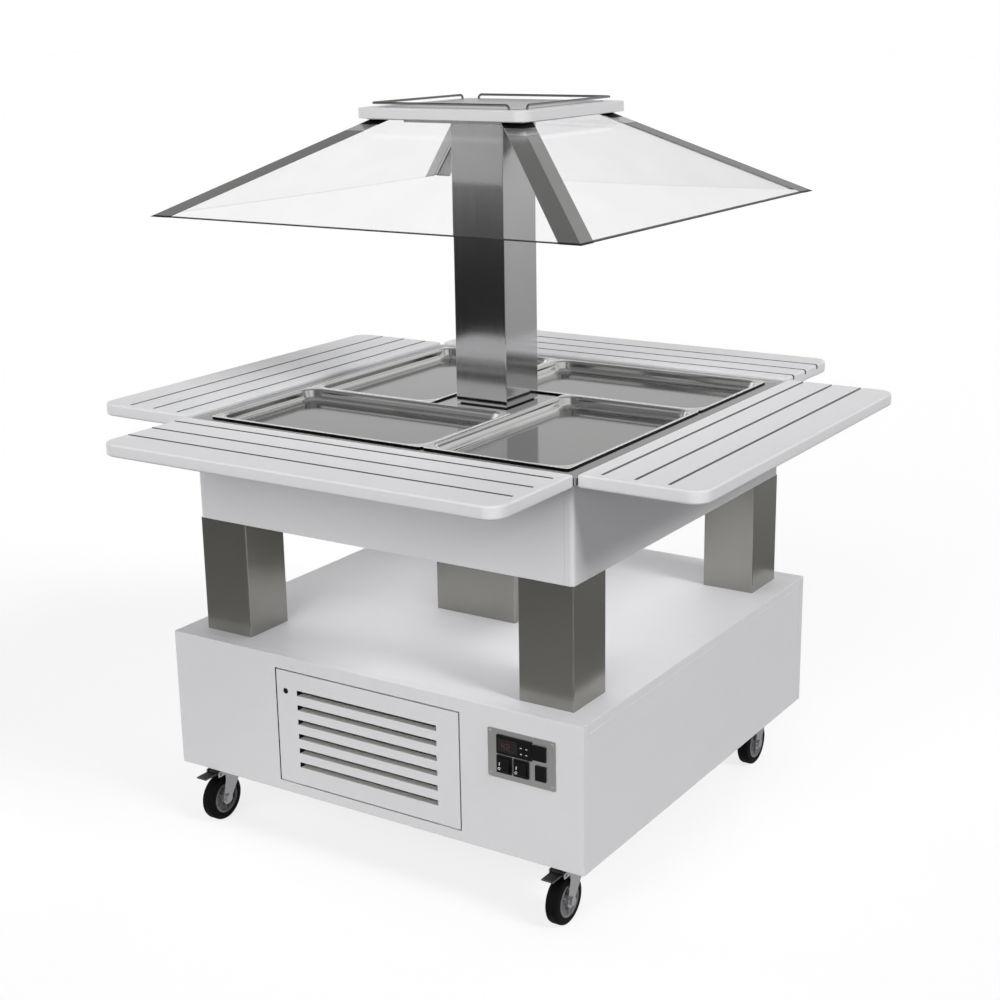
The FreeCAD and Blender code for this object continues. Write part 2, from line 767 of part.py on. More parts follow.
def shelf_board(name, closed_end):
    """A board with rounded outer corners and grooves that stop short of one end."""
    blank = slab(f"{name}_blank", both(HALF_SHELF),
                 (f"-{SHELF_OUTER}", f"-{SHELF_INNER} + shelf_depth"), SHELF_HEIGHTS)
    board = common(
        f"{name}_board",
        rounded(f"{name}_rounded", blank, "shelf_round", runs_along("z")),
        slab(f"{name}_half", both(f"2 * {HALF_SHELF}"), (f"-{SHELF_OUTER} - board", f"-{SHELF_INNER}"),
             (f"{SHELF_LOW} - board", f"{SHELF_TOP} + board")),
    )
    open_run = f"-{closed_end} * ({HALF_SHELF} + board)"
    stop = f"{closed_end} * ({HALF_SHELF} - groove_stop)"
    run = (open_run, stop) if closed_end > 0 else (stop, open_run)
    grooves = [
        slab(f"{name}_groove_{i}", run,
             span(f"-{SHELF_INNER} - groove_first - {i} * groove_pitch", "groove_width"),
             (f"{SHELF_TOP} - groove_depth", f"{SHELF_TOP} + board"))
        for i in range(GROOVE_COUNT)
    ]
    return cut(name, board, *grooves)


def shelf_strap(name, across):
    """A flat strap under the shelf that ends in a barrel round the hinge pin."""
    return cut(
        name,
        fuse(f"{name}_bent",
             slab(f"{name}_flat", span(across, "strap_width"), (f"{HINGE_Y} - strap_length", HINGE_Y),
                  (HINGE_Z, SHELF_LOW)),
             rod(f"{name}_barrel", "x", "hinge_barrel", (f"{across} - strap_width / 2", HINGE_Y, HINGE_Z),
                 "strap_width")),
        rod(f"{name}_bore", "x", "hinge_pin + fit_gap", (f"{across} - strap_width", HINGE_Y, HINGE_Z),
            "2 * strap_width"),
    )


HINGE_HALF = "(strap_width / 2 + run_gap + hinge_ear)"


def hinge_bracket(name, across):
    """A plate on the cabinet with two ears, and the pin between them."""
    plate_face = f"(-{HALF_CABINET} - hinge_plate)"
    ears = []
    for i, start in enumerate((f"{across} - {HINGE_HALF}", f"{across} + {HINGE_HALF} - hinge_ear")):
        ears.append(rod(f"{name}_ear_{i}", "x", "hinge_barrel", (start, HINGE_Y, HINGE_Z), "hinge_ear"))
        ears.append(slab(f"{name}_web_{i}", (start, f"{start} + hinge_ear"), (HINGE_Y, plate_face),
                         both_about(HINGE_Z, "hinge_barrel")))
    plate = slab(f"{name}_plate", both_about(across, HINGE_HALF), (plate_face, f"-{HALF_CABINET}"),
                 (f"{HINGE_Z} - hinge_drop", f"{HINGE_Z} + hinge_barrel"))
    return fuse(name, plate, *ears,
                rod(f"{name}_pin", "x", "hinge_pin", (f"{across} - {HINGE_HALF}", HINGE_Y, HINGE_Z),
                    f"2 * {HINGE_HALF}"))


STRAPS_AT = {"a": "(-strap_across)", "b": "(strap_across)"}
brackets = []
for quarter, side in enumerate(SIDES):
    shelf = f"shelf_{side}"
    node(shelf, turn(shelf_board(shelf, CLOSED_GROOVE_END[side]), 90 * quarter))
    straps = [shelf_strap(f"{shelf}_strap_{end}", across) for end, across in STRAPS_AT.items()]
    node(f"{shelf}_straps", turn(group(f"{shelf}_straps", *straps), 90 * quarter))
    brackets += [turn(hinge_bracket(f"{shelf}_hinge_{end}", across), 90 * quarter)
                 for end, across in STRAPS_AT.items()]
node("shelf_hinges", group("shelf_hinges", *brackets))


# Post on its recessed foot, up to the head plate

HALF_POST = "(post_side / 2)"
POST_LOW = f"({RIM} + foot_height)"
node("post_foot", tube("post_foot", both(FOOT_HALF), both(FOOT_HALF), (RIM, POST_LOW), "foot_wall"))
node("canopy_post", cut(
    "canopy_post",
    slab("post_outside", both(HALF_POST), both(HALF_POST), (POST_LOW, HEAD_LOW)),
    slab("post_inside", both(f"{HALF_POST} - post_wall"), both(f"{HALF_POST} - post_wall"),
         (f"{POST_LOW} + post_end", HEAD_LOW)),
    slab("post_cable_hole", both(CABLE_WAY), both(CABLE_WAY), (RIM, HEAD_LOW)),
))
HEAD_HALF = "(canopy_top / 2 + head_overlap)"
node("head_plate", slab("head_plate", both(HEAD_HALF), both(HEAD_HALF), (HEAD_LOW, TOP_LOW)))
node("lamp_panel", cut(
    "lamp_panel",
    slab("lamp_blank", both("lamp_width / 2"), both("lamp_width / 2"),
         (f"{HEAD_LOW} - lamp_height", HEAD_LOW)),
    slab("lamp_hole", both(f"{HALF_POST} + run_gap"), both(f"{HALF_POST} + run_gap"),
         (f"{HEAD_LOW} - 2 * lamp_height", f"{HEAD_LOW} + lamp_height")),
))


# Canopy: four clear panes and the folded covers on their hips

SLOPE_RUN = "((canopy_width - canopy_top) / 2)"
SIDEWAYS = f"(sqrt(canopy_rise ^ 2 + {SLOPE_RUN} ^ 2) / canopy_rise)"


def roof(name, inwards):
    """The canopy's outline as a solid, drawn in by a distance measured square to its slopes."""
    low_half = f"canopy_width / 2 - ({inwards}) * {SIDEWAYS}"
    top_half = f"canopy_top / 2 - ({inwards}) * {SIDEWAYS}"
    return frustum(name, CANOPY_LOW, HEAD_LOW, both(low_half), both(low_half), both(top_half), both(top_half))


def diagonals(name, half_width):
    """Two crossing upright blocks that follow the hips in plan."""
    reach = both("canopy_width")
    heights = (f"{CANOPY_LOW} - board", f"{HEAD_LOW} + board")
    crossing = fuse(name, slab(f"{name}_a", reach, both(half_width), heights),
                    slab(f"{name}_b", both(half_width), reach, heights))
    return turn(crossing, 45)


node("canopy_panes", cut("canopy_panes",
                         cut("pane_shell", roof("pane_outside", "0"), roof("pane_inside", "pane")),
                         diagonals("pane_joints", "pane_gap / 2")))
node("hip_covers", common("hip_covers",
                          cut("hip_shell", roof("hip_outside", "-hip_sheet"), roof("hip_inside", "0")),
                          diagonals("hip_bands", "hip_flange")))


# Top board with a steel plate and two bent wire rails

top_blank = slab("top_blank", both("top_width / 2"), both("top_width / 2"), (TOP_LOW, TOP_HIGH))
node("top_board", rounded("top_board", top_blank, "top_round", runs_along("z")))
plate_half = "top_width / 2 - top_margin"
node("top_plate", slab("top_plate", both(plate_half), both(plate_half),
                       (TOP_HIGH, f"{TOP_HIGH} + top_sheet")))


def bent_wire(corners, bend, radius):
    """A round wire along straight runs joined by tangent arcs."""
    edges = []
    start = corners[0]
    for before, corner, after in zip(corners, corners[1:], corners[2:]):
        back = (before - corner).normalize()
        ahead = (after - corner).normalize()
        entry = corner + back * bend
        leave = corner + ahead * bend
        middle = corner + (back + ahead) * bend * (1 - math.sqrt(0.5))
        edges += [Part.LineSegment(start, entry).toShape(), Part.Arc(entry, middle, leave).toShape()]
        start = leave
    edges.append(Part.LineSegment(start, corners[-1]).toShape())
    path = Part.Wire(edges)
    section = Part.Wire(Part.Circle(corners[0], corners[1] - corners[0], radius).toShape())
    return path.makePipeShell([section], True, False)


rail_side = dims.get("top_width") / 2 - dims.get("rail_inset")
rail_stop = rail_side - dims.get("rail_end")
rail_top = dims.get("rail_height")
rail_corners = [FreeCAD.Vector(*point) for point in (
    (-rail_side, rail_stop, 0), (-rail_side, rail_stop, rail_top),
    (-rail_side, -rail_side, rail_top),
    (rail_stop, -rail_side, rail_top), (rail_stop, -rail_side, 0))]
rails = []
for angle in (0, 180):
    rail = doc.addObject("Part::Feature", f"rail_{angle}")
    rail.Shape = bent_wire(rail_corners, dims.get("rail_bend"), dims.get("rail_wire"))
    rails.append(move(turn(rail, angle), ("0", "0", TOP_HIGH)))
node("gallery_rails", group("gallery_rails", *rails))


# Castors: each swivels under its plate and trails towards the back of its travel

CASTER_REACH = (f"({HALF_BASE} - caster_side_inset)", f"({HALF_BASE} - caster_end_inset)")
PLATE_LOW = f"({CASTER_TOP} - caster_plate)"
RACE_LOW = f"({PLATE_LOW} - race_height)"
CROWN_TOP = f"({RACE_LOW} - run_gap)"
CROWN_LOW = f"({CROWN_TOP} - crown_sheet)"
KING_LOW = f"({CROWN_LOW} - run_gap - king_head)"
CHEEK_IN = "(wheel_width / 2 + cheek_gap)"
CHEEK_OUT = f"({CHEEK_IN} + cheek_sheet)"
PEDAL_Y = "(-trail - pedal_out)"
PEDAL_Z = "(wheel_radius + pedal_up)"
CASTER_SIGNS = {"front_left": (-1, -1), "front_right": (1, -1), "back_right": (1, 1), "back_left": (-1, 1)}


def caster_top(name):
    """The top plate with the fixed race and the king pin that carries the fork."""
    half = "caster_plate_width / 2"
    return fuse(
        name,
        slab(f"{name}_plate", both(half), both(half), (PLATE_LOW, CASTER_TOP)),
        rod(f"{name}_race", "z", "race_radius", ("0", "0", RACE_LOW), "race_height"),
        rod(f"{name}_king", "z", "king_radius", ("0", "0", KING_LOW), f"{RACE_LOW} - {KING_LOW}"),
        rod(f"{name}_head", "z", "king_head_radius", ("0", "0", KING_LOW), "king_head"),
    )


def caster_fork(name, braked):
    """The pressed fork: a round crown and two cheeks, with lugs for the pedal where it has one."""
    pressed = [rod(f"{name}_crown", "z", "crown_radius", ("0", "0", CROWN_LOW), "crown_sheet")]
    for end, x in (("left", (f"-{CHEEK_OUT}", f"-{CHEEK_IN}")), ("right", (CHEEK_IN, CHEEK_OUT))):
        pressed.append(frustum(f"{name}_cheek_{end}", "wheel_radius", CROWN_TOP,
                               x, ("-trail - fork_boss", "-trail + fork_boss"),
                               x, ("-crown_back", "crown_front")))
        pressed.append(rod(f"{name}_boss_{end}", "x", "fork_boss", (x[0], "-trail", "wheel_radius"),
                           "cheek_sheet"))
        if braked:
            pressed.append(slab(f"{name}_lug_{end}", x, (f"{PEDAL_Y} - 2 * pedal_pin", "-crown_back / 2"),
                                both_about(PEDAL_Z, "2 * pedal_pin")))
    holes = [
        rod(f"{name}_king_hole", "z", "king_radius + fit_gap", ("0", "0", f"{CROWN_LOW} - crown_sheet"),
            "3 * crown_sheet"),
        rod(f"{name}_axle_hole", "x", "axle_radius + fit_gap",
            (f"-2 * {CHEEK_OUT}", "-trail", "wheel_radius"), f"4 * {CHEEK_OUT}"),
    ]
    if braked:
        holes.append(rod(f"{name}_pedal_hole", "x", "pedal_pin + fit_gap",
                         (f"-2 * {CHEEK_OUT}", PEDAL_Y, PEDAL_Z), f"4 * {CHEEK_OUT}"))
    return cut(name, fuse(f"{name}_pressed", *pressed), *holes)


def axle_bolt(name):
    """The wheel's axle with a head and a nut outside the cheeks."""
    reach = f"({CHEEK_OUT} + axle_head)"
    line = ("-trail", "wheel_radius")
    return fuse(
        name,
        rod(f"{name}_shank", "x", "axle_radius", (f"-{reach}", *line), f"2 * {reach}"),
        rod(f"{name}_head", "x", "axle_head_radius", (f"-{reach}", *line), "axle_head"),
        rod(f"{name}_nut", "x", "axle_head_radius", (CHEEK_OUT, *line), "axle_head"),
    )


def caster_wheel(name):
    """A moulded hub and the tyre on it, both turned about the axle."""
    half = "wheel_width / 2"
    tyre = lathe(f"{name}_tyre", (
        ("hub_radius", f"-{half}"), ("wheel_radius - tread_round", f"-{half}"),
        ("wheel_radius", f"-{half} + tread_round"), ("wheel_radius", f"{half} - tread_round"),
        ("wheel_radius - tread_round", half), ("hub_radius", half)))
    bore = "axle_radius + fit_gap"
    boss = f"({half} + cheek_gap - run_gap)"
    rim = "hub_radius - hub_rim"
    web = "hub_web / 2"
    hub = lathe(f"{name}_hub", (
        (bore, f"-{boss}"), ("hub_boss", f"-{boss}"), ("hub_boss", f"-{web}"),
        (rim, f"-{web}"), (rim, f"-{half}"), ("hub_radius", f"-{half}"),
        ("hub_radius", half), (rim, half), (rim, web),
        ("hub_boss", web), ("hub_boss", boss), (bore, boss)))
    wheel = group(name, tyre, hub)
    wheel.Placement = FreeCAD.Placement(FreeCAD.Vector(), ALONG["x"])
    return wheel


def brake_pedal(name):
    """A foot lever whose pin turns in the fork's lugs, with a shoe above the tyre."""
    half = "pedal_width / 2"
    return fuse(
        name,
        rod(f"{name}_pin", "x", "pedal_pin", (f"-{CHEEK_OUT}", PEDAL_Y, PEDAL_Z), f"2 * {CHEEK_OUT}"),
        rod(f"{name}_sleeve", "x", "pedal_boss", (f"-{half}", PEDAL_Y, PEDAL_Z), "pedal_width"),
        slab(f"{name}_lever", both(half), (f"{PEDAL_Y} - pedal_length", PEDAL_Y),
             (f"{PEDAL_Z}", f"{PEDAL_Z} + pedal_sheet")),
    )


tops = []
for corner, signs in CASTER_SIGNS.items():
    place = [f"{sign} * {reach}" for sign, reach in zip(signs, CASTER_REACH)]
    braked = corner.startswith("front")
    tops.append(move(caster_top(f"caster_top_{corner}"), (*place, "0")))
    fork = group(f"caster_fork_{corner}", caster_fork(f"fork_{corner}", braked), axle_bolt(f"axle_{corner}"))
    node(f"caster_fork_{corner}", move(fork, (*place, "0")))
    wheel = caster_wheel(f"caster_wheel_{corner}")
    node(f"caster_wheel_{corner}", move(wheel, (place[0], f"{place[1]} - trail", "wheel_radius")))
    if braked:
        node(f"brake_pedal_{corner}", move(brake_pedal(f"brake_pedal_{corner}"), (*place, "0")))
node("caster_plates", group("caster_plates", *tops))


# Cooling unit behind the grille: condenser, fan and compressor

CONDENSER_Y = f"(-{HALF_BASE} + condenser_back)"
CONDENSER_TOP = f"({FLOOR_TOP} + condenser_height)"
CONDENSER_HALF = "(condenser_width / 2)"
condenser_blank = slab("condenser_blank", both(CONDENSER_HALF),
                       (CONDENSER_Y, f"{CONDENSER_Y} + condenser_depth"), (FLOOR_TOP, CONDENSER_TOP))
fin_room = dims.get("condenser_width") - 2 * dims.get("condenser_frame")
fin_count = int(fin_room // dims.get("fin_pitch"))
fin_gaps = [
    slab(f"fin_gap_{i}", span(f"{i - (fin_count - 1) / 2} * fin_pitch", "fin_pitch - fin_sheet"),
         (f"{CONDENSER_Y} - condenser_depth", f"{CONDENSER_Y} + 2 * condenser_depth"),
         (f"{FLOOR_TOP} + condenser_frame", f"{CONDENSER_TOP} - condenser_frame"))
    for i in range(fin_count)
]
node("condenser", cut("condenser", condenser_blank, *fin_gaps))

FAN_Z = f"({FLOOR_TOP} + condenser_height / 2)"
FAN_OPENING = "(condenser_height / 2 - shroud_rim)"
FAN_RADIUS = f"({FAN_OPENING} - fan_tip_gap)"
SHROUD_Y = f"({CONDENSER_Y} + condenser_depth + shroud_gap)"
FAN_Y = f"({SHROUD_Y} - shroud_gap / 2)"
MOTOR_Y = f"({FAN_Y} + fan_width + motor_gap)"
MOTOR_BACK = f"({MOTOR_Y} + motor_length)"
shroud = cut(
    "shroud",
    slab("shroud_blank", both(CONDENSER_HALF), (SHROUD_Y, f"{SHROUD_Y} + shroud_sheet"),
         (FLOOR_TOP, CONDENSER_TOP)),
    rod("fan_opening", "y", FAN_OPENING, ("0", f"{SHROUD_Y} - board", FAN_Z), "3 * board"),
)
node("fan_frame", fuse(
    "fan_frame", shroud,
    slab("fan_sole", both("bracket_width / 2"), (SHROUD_Y, MOTOR_BACK),
         (FLOOR_TOP, f"{FLOOR_TOP} + shroud_sheet")),
    slab("fan_bracket", both("bracket_width / 2"), (f"{MOTOR_BACK} - motor_length / 2", MOTOR_BACK),
         (FLOOR_TOP, FAN_Z)),
    rod("fan_motor", "y", "motor_radius", ("0", MOTOR_Y, FAN_Z), "motor_length"),
    rod("fan_shaft", "y", "shaft_radius", ("0", FAN_Y, FAN_Z), f"{MOTOR_Y} - {FAN_Y}"),
))

blades = []
for i in range(BLADE_COUNT):
    # The slab stands on the Z axis and is pitched about it, so its corners reach the fan's radius
    flat = slab(f"blade_{i}_flat", both("fan_width / 2"), both("blade_sheet / 2"),
                ("fan_hub / 2", f"{FAN_RADIUS} - fan_width / 8"))
    pitched = turn(group(f"blade_{i}_pitched", flat), BLADE_PITCH_DEG)
    blades.append(turn(group(f"blade_{i}", pitched), 360 * i / BLADE_COUNT, FreeCAD.Vector(0, 1, 0)))
fan_boss = rod("fan_boss", "y", "fan_hub", ("0", "-fan_width / 2", "0"), "fan_width")
fan_solid = fuse("fan_solid", fan_boss, *blades)
fan_bore = rod("fan_bore", "y", "shaft_radius + fit_gap", ("0", "-fan_width", "0"), "2 * fan_width")
fan = cut("fan_rotor", fan_solid, fan_bore)
node("fan_rotor", move(fan, ("0", f"{FAN_Y} + fan_width / 2", FAN_Z)))

pot_low = f"({FLOOR_TOP} + compressor_foot_sheet)"
pot = lathe("compressor_pot", (
    ("0", "0"), ("compressor_radius - compressor_shoulder / 2", "0"),
    ("compressor_radius", "compressor_shoulder / 2"),
    ("compressor_radius", "compressor_height - compressor_shoulder"),
    ("compressor_radius - compressor_shoulder / 2", "compressor_height - compressor_shoulder / 4"),
    ("compressor_radius - compressor_shoulder", "compressor_height"), ("0", "compressor_height")))
move(pot, ("compressor_across", "compressor_back", pot_low))
node("compressor", fuse(
    "compressor", pot,
    slab("compressor_sole", span("compressor_across", "compressor_foot"),
         span("compressor_back", "compressor_foot"), (FLOOR_TOP, pot_low)),
))


# Every object has to be sound before anything is written

doc.recompute()
for item in doc.Objects:
    if {"Invalid", "Error"} & set(item.State):
        raise RuntimeError(f"{item.Name} did not build: {item.State}")
for item in nodes:
    if item.Shape.isNull() or not item.Shape.isValid():
        raise RuntimeError(f"{item.Label} has no valid shape")

os.makedirs("parts", exist_ok=True)
for item in nodes:
    item.Shape.exportStep(f"parts/{item.Label}.step")
print(len(nodes), "sub-parts,", sum(len(item.Shape.Solids) for item in nodes), "solids")
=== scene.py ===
"""Self-service display case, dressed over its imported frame.

Metres, +Z up, front towards -Y, as in the frame.
"""
import bmesh
import bpy
import json
import math
from mathutils import Matrix, Vector

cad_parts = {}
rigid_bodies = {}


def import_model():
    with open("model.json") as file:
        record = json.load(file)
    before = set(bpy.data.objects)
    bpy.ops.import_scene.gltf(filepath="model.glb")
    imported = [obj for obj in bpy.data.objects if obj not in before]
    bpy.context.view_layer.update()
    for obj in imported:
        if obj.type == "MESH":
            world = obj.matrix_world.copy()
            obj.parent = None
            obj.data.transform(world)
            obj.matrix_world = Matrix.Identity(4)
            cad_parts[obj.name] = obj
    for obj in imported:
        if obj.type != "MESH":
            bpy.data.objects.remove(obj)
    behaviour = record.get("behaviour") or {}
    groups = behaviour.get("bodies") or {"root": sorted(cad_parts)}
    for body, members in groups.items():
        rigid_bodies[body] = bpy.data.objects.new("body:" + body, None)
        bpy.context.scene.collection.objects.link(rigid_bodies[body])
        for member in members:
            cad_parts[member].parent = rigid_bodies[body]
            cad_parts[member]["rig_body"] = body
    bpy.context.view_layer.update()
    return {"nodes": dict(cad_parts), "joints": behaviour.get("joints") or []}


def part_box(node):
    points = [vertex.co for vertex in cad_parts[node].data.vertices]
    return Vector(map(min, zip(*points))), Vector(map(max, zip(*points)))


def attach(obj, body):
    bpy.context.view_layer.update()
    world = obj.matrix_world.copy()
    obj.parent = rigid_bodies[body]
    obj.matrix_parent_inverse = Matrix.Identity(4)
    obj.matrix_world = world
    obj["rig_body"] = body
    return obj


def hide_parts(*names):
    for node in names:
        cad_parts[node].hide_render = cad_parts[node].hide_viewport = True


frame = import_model()


# Castor top plates: pressed steel with a black zinc plating, one under each corner of the base.
# Each has its ball race and king pin, and is held up by four hexagon bolts.

MM = 0.001
CORNERS = ("front_left", "front_right", "back_right", "back_left")
PIVOTS = {joint["name"]: Vector(joint["pos_m"]) for joint in frame["joints"] if "pos_m" in joint}


def put(tree, kind, values=None, **settings):
    """Add a node with its settings, and fill or link its inputs by name or number."""
    node = tree.nodes.new(f"ShaderNode{kind}")
    for key, value in settings.items():
        setattr(node, key, value)
    for key, value in (values or {}).items():
        if isinstance(value, bpy.types.NodeSocket):
            tree.links.new(value, node.inputs[key])
        else:
            node.inputs[key].default_value = value
    return node


def maths(tree, operation, first, second):
    """Work out a value from two others."""
    return put(tree, "Math", {0: first, 1: second}, operation=operation).outputs[0]


def ramp(tree, value, low, high, start=0.0, end=1.0):
    """Map a value that runs from start to end onto low to high."""
    return put(tree, "MapRange", {"Value": value, "From Min": start, "From Max": end,
                                  "To Min": low, "To Max": high}).outputs["Result"]


def blend(tree, factor, first, second):
    """Mix two colours."""
    mixed = put(tree, "Mix", {0: factor, 6: first, 7: second}, data_type="RGBA")
    return mixed.outputs[2]


def effect(name, inputs, outputs):
    """A shader group with named sockets, and what feeds it and what it feeds."""
    tree = bpy.data.node_groups.new(name, "ShaderNodeTree")
    for label, kind, value in inputs:
        tree.interface.new_socket(label, in_out="INPUT", socket_type=kind).default_value = value
    for label in outputs:
        tree.interface.new_socket(label, in_out="OUTPUT", socket_type="NodeSocketFloat")
    return tree, tree.nodes.new("NodeGroupInput").outputs, tree.nodes.new("NodeGroupOutput").inputs


def new_material(name, colour, roughness, metallic=0.0):
    """A new material with its tree and its shader at hand."""
    material = bpy.data.materials.new(name)
    material.use_nodes = True
    tree = material.node_tree
    shader = tree.nodes["Principled BSDF"]
    shader.inputs["Base Color"].default_value = (*colour, 1)
    shader.inputs["Roughness"].default_value = roughness
    shader.inputs["Metallic"].default_value = metallic
    return material, tree, shader


def shade(colour, share):
    """A colour dimmed or brightened by a share, as a mix needs it."""
    return tuple(min(1.0, part * share) for part in colour) + (1,)


def paler(colour, share):
    """A colour taken a share of the way to white, as a mix needs it."""
    return tuple(part + (1 - part) * share for part in colour) + (1,)


# Cloudiness and fine grit that any cast, plated or moulded surface has
GRIT_PER_CLOUD = 14.0
mottle, feed, taken = effect("mottle", [("Scale", "NodeSocketFloat", 60.0)], ["Soft", "Grit"])
spot = put(mottle, "TexCoord").outputs["Object"]
clouds = put(mottle, "TexNoise", {"Vector": spot, "Scale": feed["Scale"], "Detail": 3.0})
closer = maths(mottle, "MULTIPLY", feed["Scale"], GRIT_PER_CLOUD)
specks = put(mottle, "TexNoise", {"Vector": spot, "Scale": closer, "Detail": 2.0})
mottle.links.new(ramp(mottle, clouds.outputs["Fac"], 0, 1, 0.3, 0.7), taken["Soft"])
mottle.links.new(ramp(mottle, specks.outputs["Fac"], 0, 1, 0.25, 0.75), taken["Grit"])

# Edges that hands and cloths have rubbed, with a painted highlight on metal and moulded finishes: the eased
# faces, broken up by noise
edge_wear_and_highlight, feed, taken = effect("eased_edge_wear_and_highlight", [("Amount", "NodeSocketFloat", 0.5)], ["Mask"])
eased = put(edge_wear_and_highlight, "Attribute", attribute_name="eased_face", attribute_type="GEOMETRY")
spot = put(edge_wear_and_highlight, "TexCoord").outputs["Object"]
patches = put(edge_wear_and_highlight, "TexNoise", {"Vector": spot, "Scale": 45.0, "Detail": 4.0})
worn_patches = ramp(edge_wear_and_highlight, patches.outputs["Fac"], 0.3, 1, 0.35, 0.6)
broken = maths(edge_wear_and_highlight, "MULTIPLY", eased.outputs["Fac"], worn_patches)
edge_wear_and_highlight.links.new(maths(edge_wear_and_highlight, "MULTIPLY", broken, feed["Amount"]), taken["Mask"])

GLOSS_PLAY = 0.06


def moulded(name, colour, roughness, scale=60.0, metallic=0.0, bump=0.1, edge=0.3, shine=0.5):
    """A plated, painted or moulded finish with mottled colour and gloss."""
    material, tree, shader = new_material(name, colour, roughness, metallic)
    shader.inputs["Specular IOR Level"].default_value = shine
    cloud = put(tree, "Group", {"Scale": scale}, node_tree=mottle)
    eased_edge_mask = put(tree, "Group", {"Amount": edge}, node_tree=edge_wear_and_highlight)
    body = blend(tree, cloud.outputs["Soft"], shade(colour, 0.95), shade(colour, 1.04))
    # The eased edges turn paler: partly wear, partly a painted highlight
    tree.links.new(blend(tree, eased_edge_mask.outputs["Mask"], body, paler(colour, 0.25)), shader.inputs["Base Color"])
    gloss = ramp(tree, cloud.outputs["Soft"], roughness - GLOSS_PLAY, roughness + GLOSS_PLAY)
    tree.links.new(gloss, shader.inputs["Roughness"])
    raised = put(tree, "Bump", {"Strength": bump, "Distance": 0.2 * MM, "Height": cloud.outputs["Grit"]})
    tree.links.new(raised.outputs["Normal"], shader.inputs["Normal"])
    return material


def sharp(edge, least=35):
    """True where two faces meet at a real corner, of more than so many degrees."""
    return len(edge.link_faces) == 2 and edge.calc_face_angle() > math.radians(least)


def whole(bm):
    """All that a mesh holds, as a cut needs it."""
    return [*bm.verts, *bm.edges, *bm.faces]


WELD = 0.01 * MM
FLAT = math.radians(0.5)


def welded(node, cuts=()):
    """A merged copy of a node's mesh, its flat faces made whole between the cuts, each a (point, normal)."""
    bm = bmesh.new()
    bm.from_mesh(frame["nodes"][node].data)
    bmesh.ops.remove_doubles(bm, verts=bm.verts, dist=WELD)
    for point, normal in cuts:
        cut = bmesh.ops.bisect_plane(bm, geom=whole(bm), plane_co=point, plane_no=normal)
        for edge in cut["geom_cut"]:
            if isinstance(edge, bmesh.types.BMEdge):
                edge.seam = True
    bmesh.ops.dissolve_limit(bm, angle_limit=FLAT, verts=bm.verts, edges=bm.edges, delimit={"SEAM"})
    return bm


def ease(bm, radius, chosen=lambda edge: True, segments=3):
    """Round the chosen corners, by millimetres, and mark the new faces as open to rubbing and to a painted
    highlight.
    """
    eased_face = bm.faces.layers.float.get("eased_face") or bm.faces.layers.float.new("eased_face")
    corners = [edge for edge in bm.edges if sharp(edge) and chosen(edge)]
    made = bmesh.ops.bevel(bm, geom=corners, offset=radius * MM, segments=segments, profile=0.5,
                           affect="EDGES", material=-1, clamp_overlap=True)
    for face in made["faces"]:
        face[eased_face] = 1.0


def make(name, bm, finishes, node):
    """Make a piece that stands for a node and rides on its body."""
    for edge in bm.edges:
        edge.smooth = not sharp(edge)
    for face in bm.faces:
        face.smooth = True
    mesh = bpy.data.meshes.new(name)
    bm.to_mesh(mesh)
    bm.free()
    if "custom_normal" in mesh.attributes:
        mesh.attributes.remove(mesh.attributes["custom_normal"])
    for material in finishes:
        mesh.materials.append(material)
    piece = bpy.data.objects.new(name, mesh)
    bpy.context.scene.collection.objects.link(piece)
    piece.modifiers.new("flat_faces", "WEIGHTED_NORMAL").keep_sharp = True
    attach(piece, frame["nodes"][node]["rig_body"])
    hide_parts(node)
    return piece


def turned(bm, profile, place, steps=32, index=0):
    """Spin a profile of (radius, height) in millimetres about Z and set it in place."""
    old_verts, old_faces = set(bm.verts), set(bm.faces)
    verts = [bm.verts.new((radius * MM, 0, height * MM)) for radius, height in profile]
    edges = [bm.edges.new(pair) for pair in zip(verts, verts[1:])]
    bmesh.ops.spin(bm, geom=verts + edges, cent=(0, 0, 0), axis=(0, 0, 1), angle=math.tau, steps=steps,
                   use_merge=True)
    bmesh.ops.remove_doubles(bm, verts=[v for v in bm.verts if v not in old_verts], dist=0.1 * WELD)
    faces = [face for face in bm.faces if face not in old_faces]
    bmesh.ops.recalc_face_normals(bm, faces=faces)
    for face in faces:
        face.material_index = index
    bmesh.ops.transform(bm, matrix=place, verts=[v for v in bm.verts if v not in old_verts])


BLACK_ZINC = (0.11, 0.11, 0.115)
PLATE_SHEET = 3 * MM
BOLT_OUT = 32 * MM
BOLT_PROFILE = [(0, 4.5), (5, 4.5), (6.3, 3.8), (6.5, 0), (0, 0)]
UPSIDE_DOWN = Matrix.Rotation(math.pi, 4, "X")
black_zinc = moulded("black_zinc", BLACK_ZINC, 0.24, 90.0, metallic=1.0, bump=0.04)
bm = welded("caster_plates")
ease(bm, 0.6)
plate_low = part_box("caster_plates")[1].z - PLATE_SHEET
for corner in CORNERS:
    king_pin = PIVOTS[f"{corner}_swivel"]
    for x in (king_pin.x - BOLT_OUT, king_pin.x + BOLT_OUT):
        for y in (king_pin.y - BOLT_OUT, king_pin.y + BOLT_OUT):
            turned(bm, BOLT_PROFILE, Matrix.Translation((x, y, plate_low)) @ UPSIDE_DOWN, 6)
make("castor_plates", bm, [black_zinc], "caster_plates")


# Castor forks: pressed from zinc-plated sheet, with the axle bolt riveted through both cheeks.
# Each turns freely under its plate.

def dress(node, name, material, radius=0.0, chosen=lambda edge: True, segments=3):
    """Make a piece that is its node with the chosen edges rounded, in one finish."""
    bm = welded(node)
    if radius:
        ease(bm, radius, chosen, segments)
    make(name, bm, [material], node)


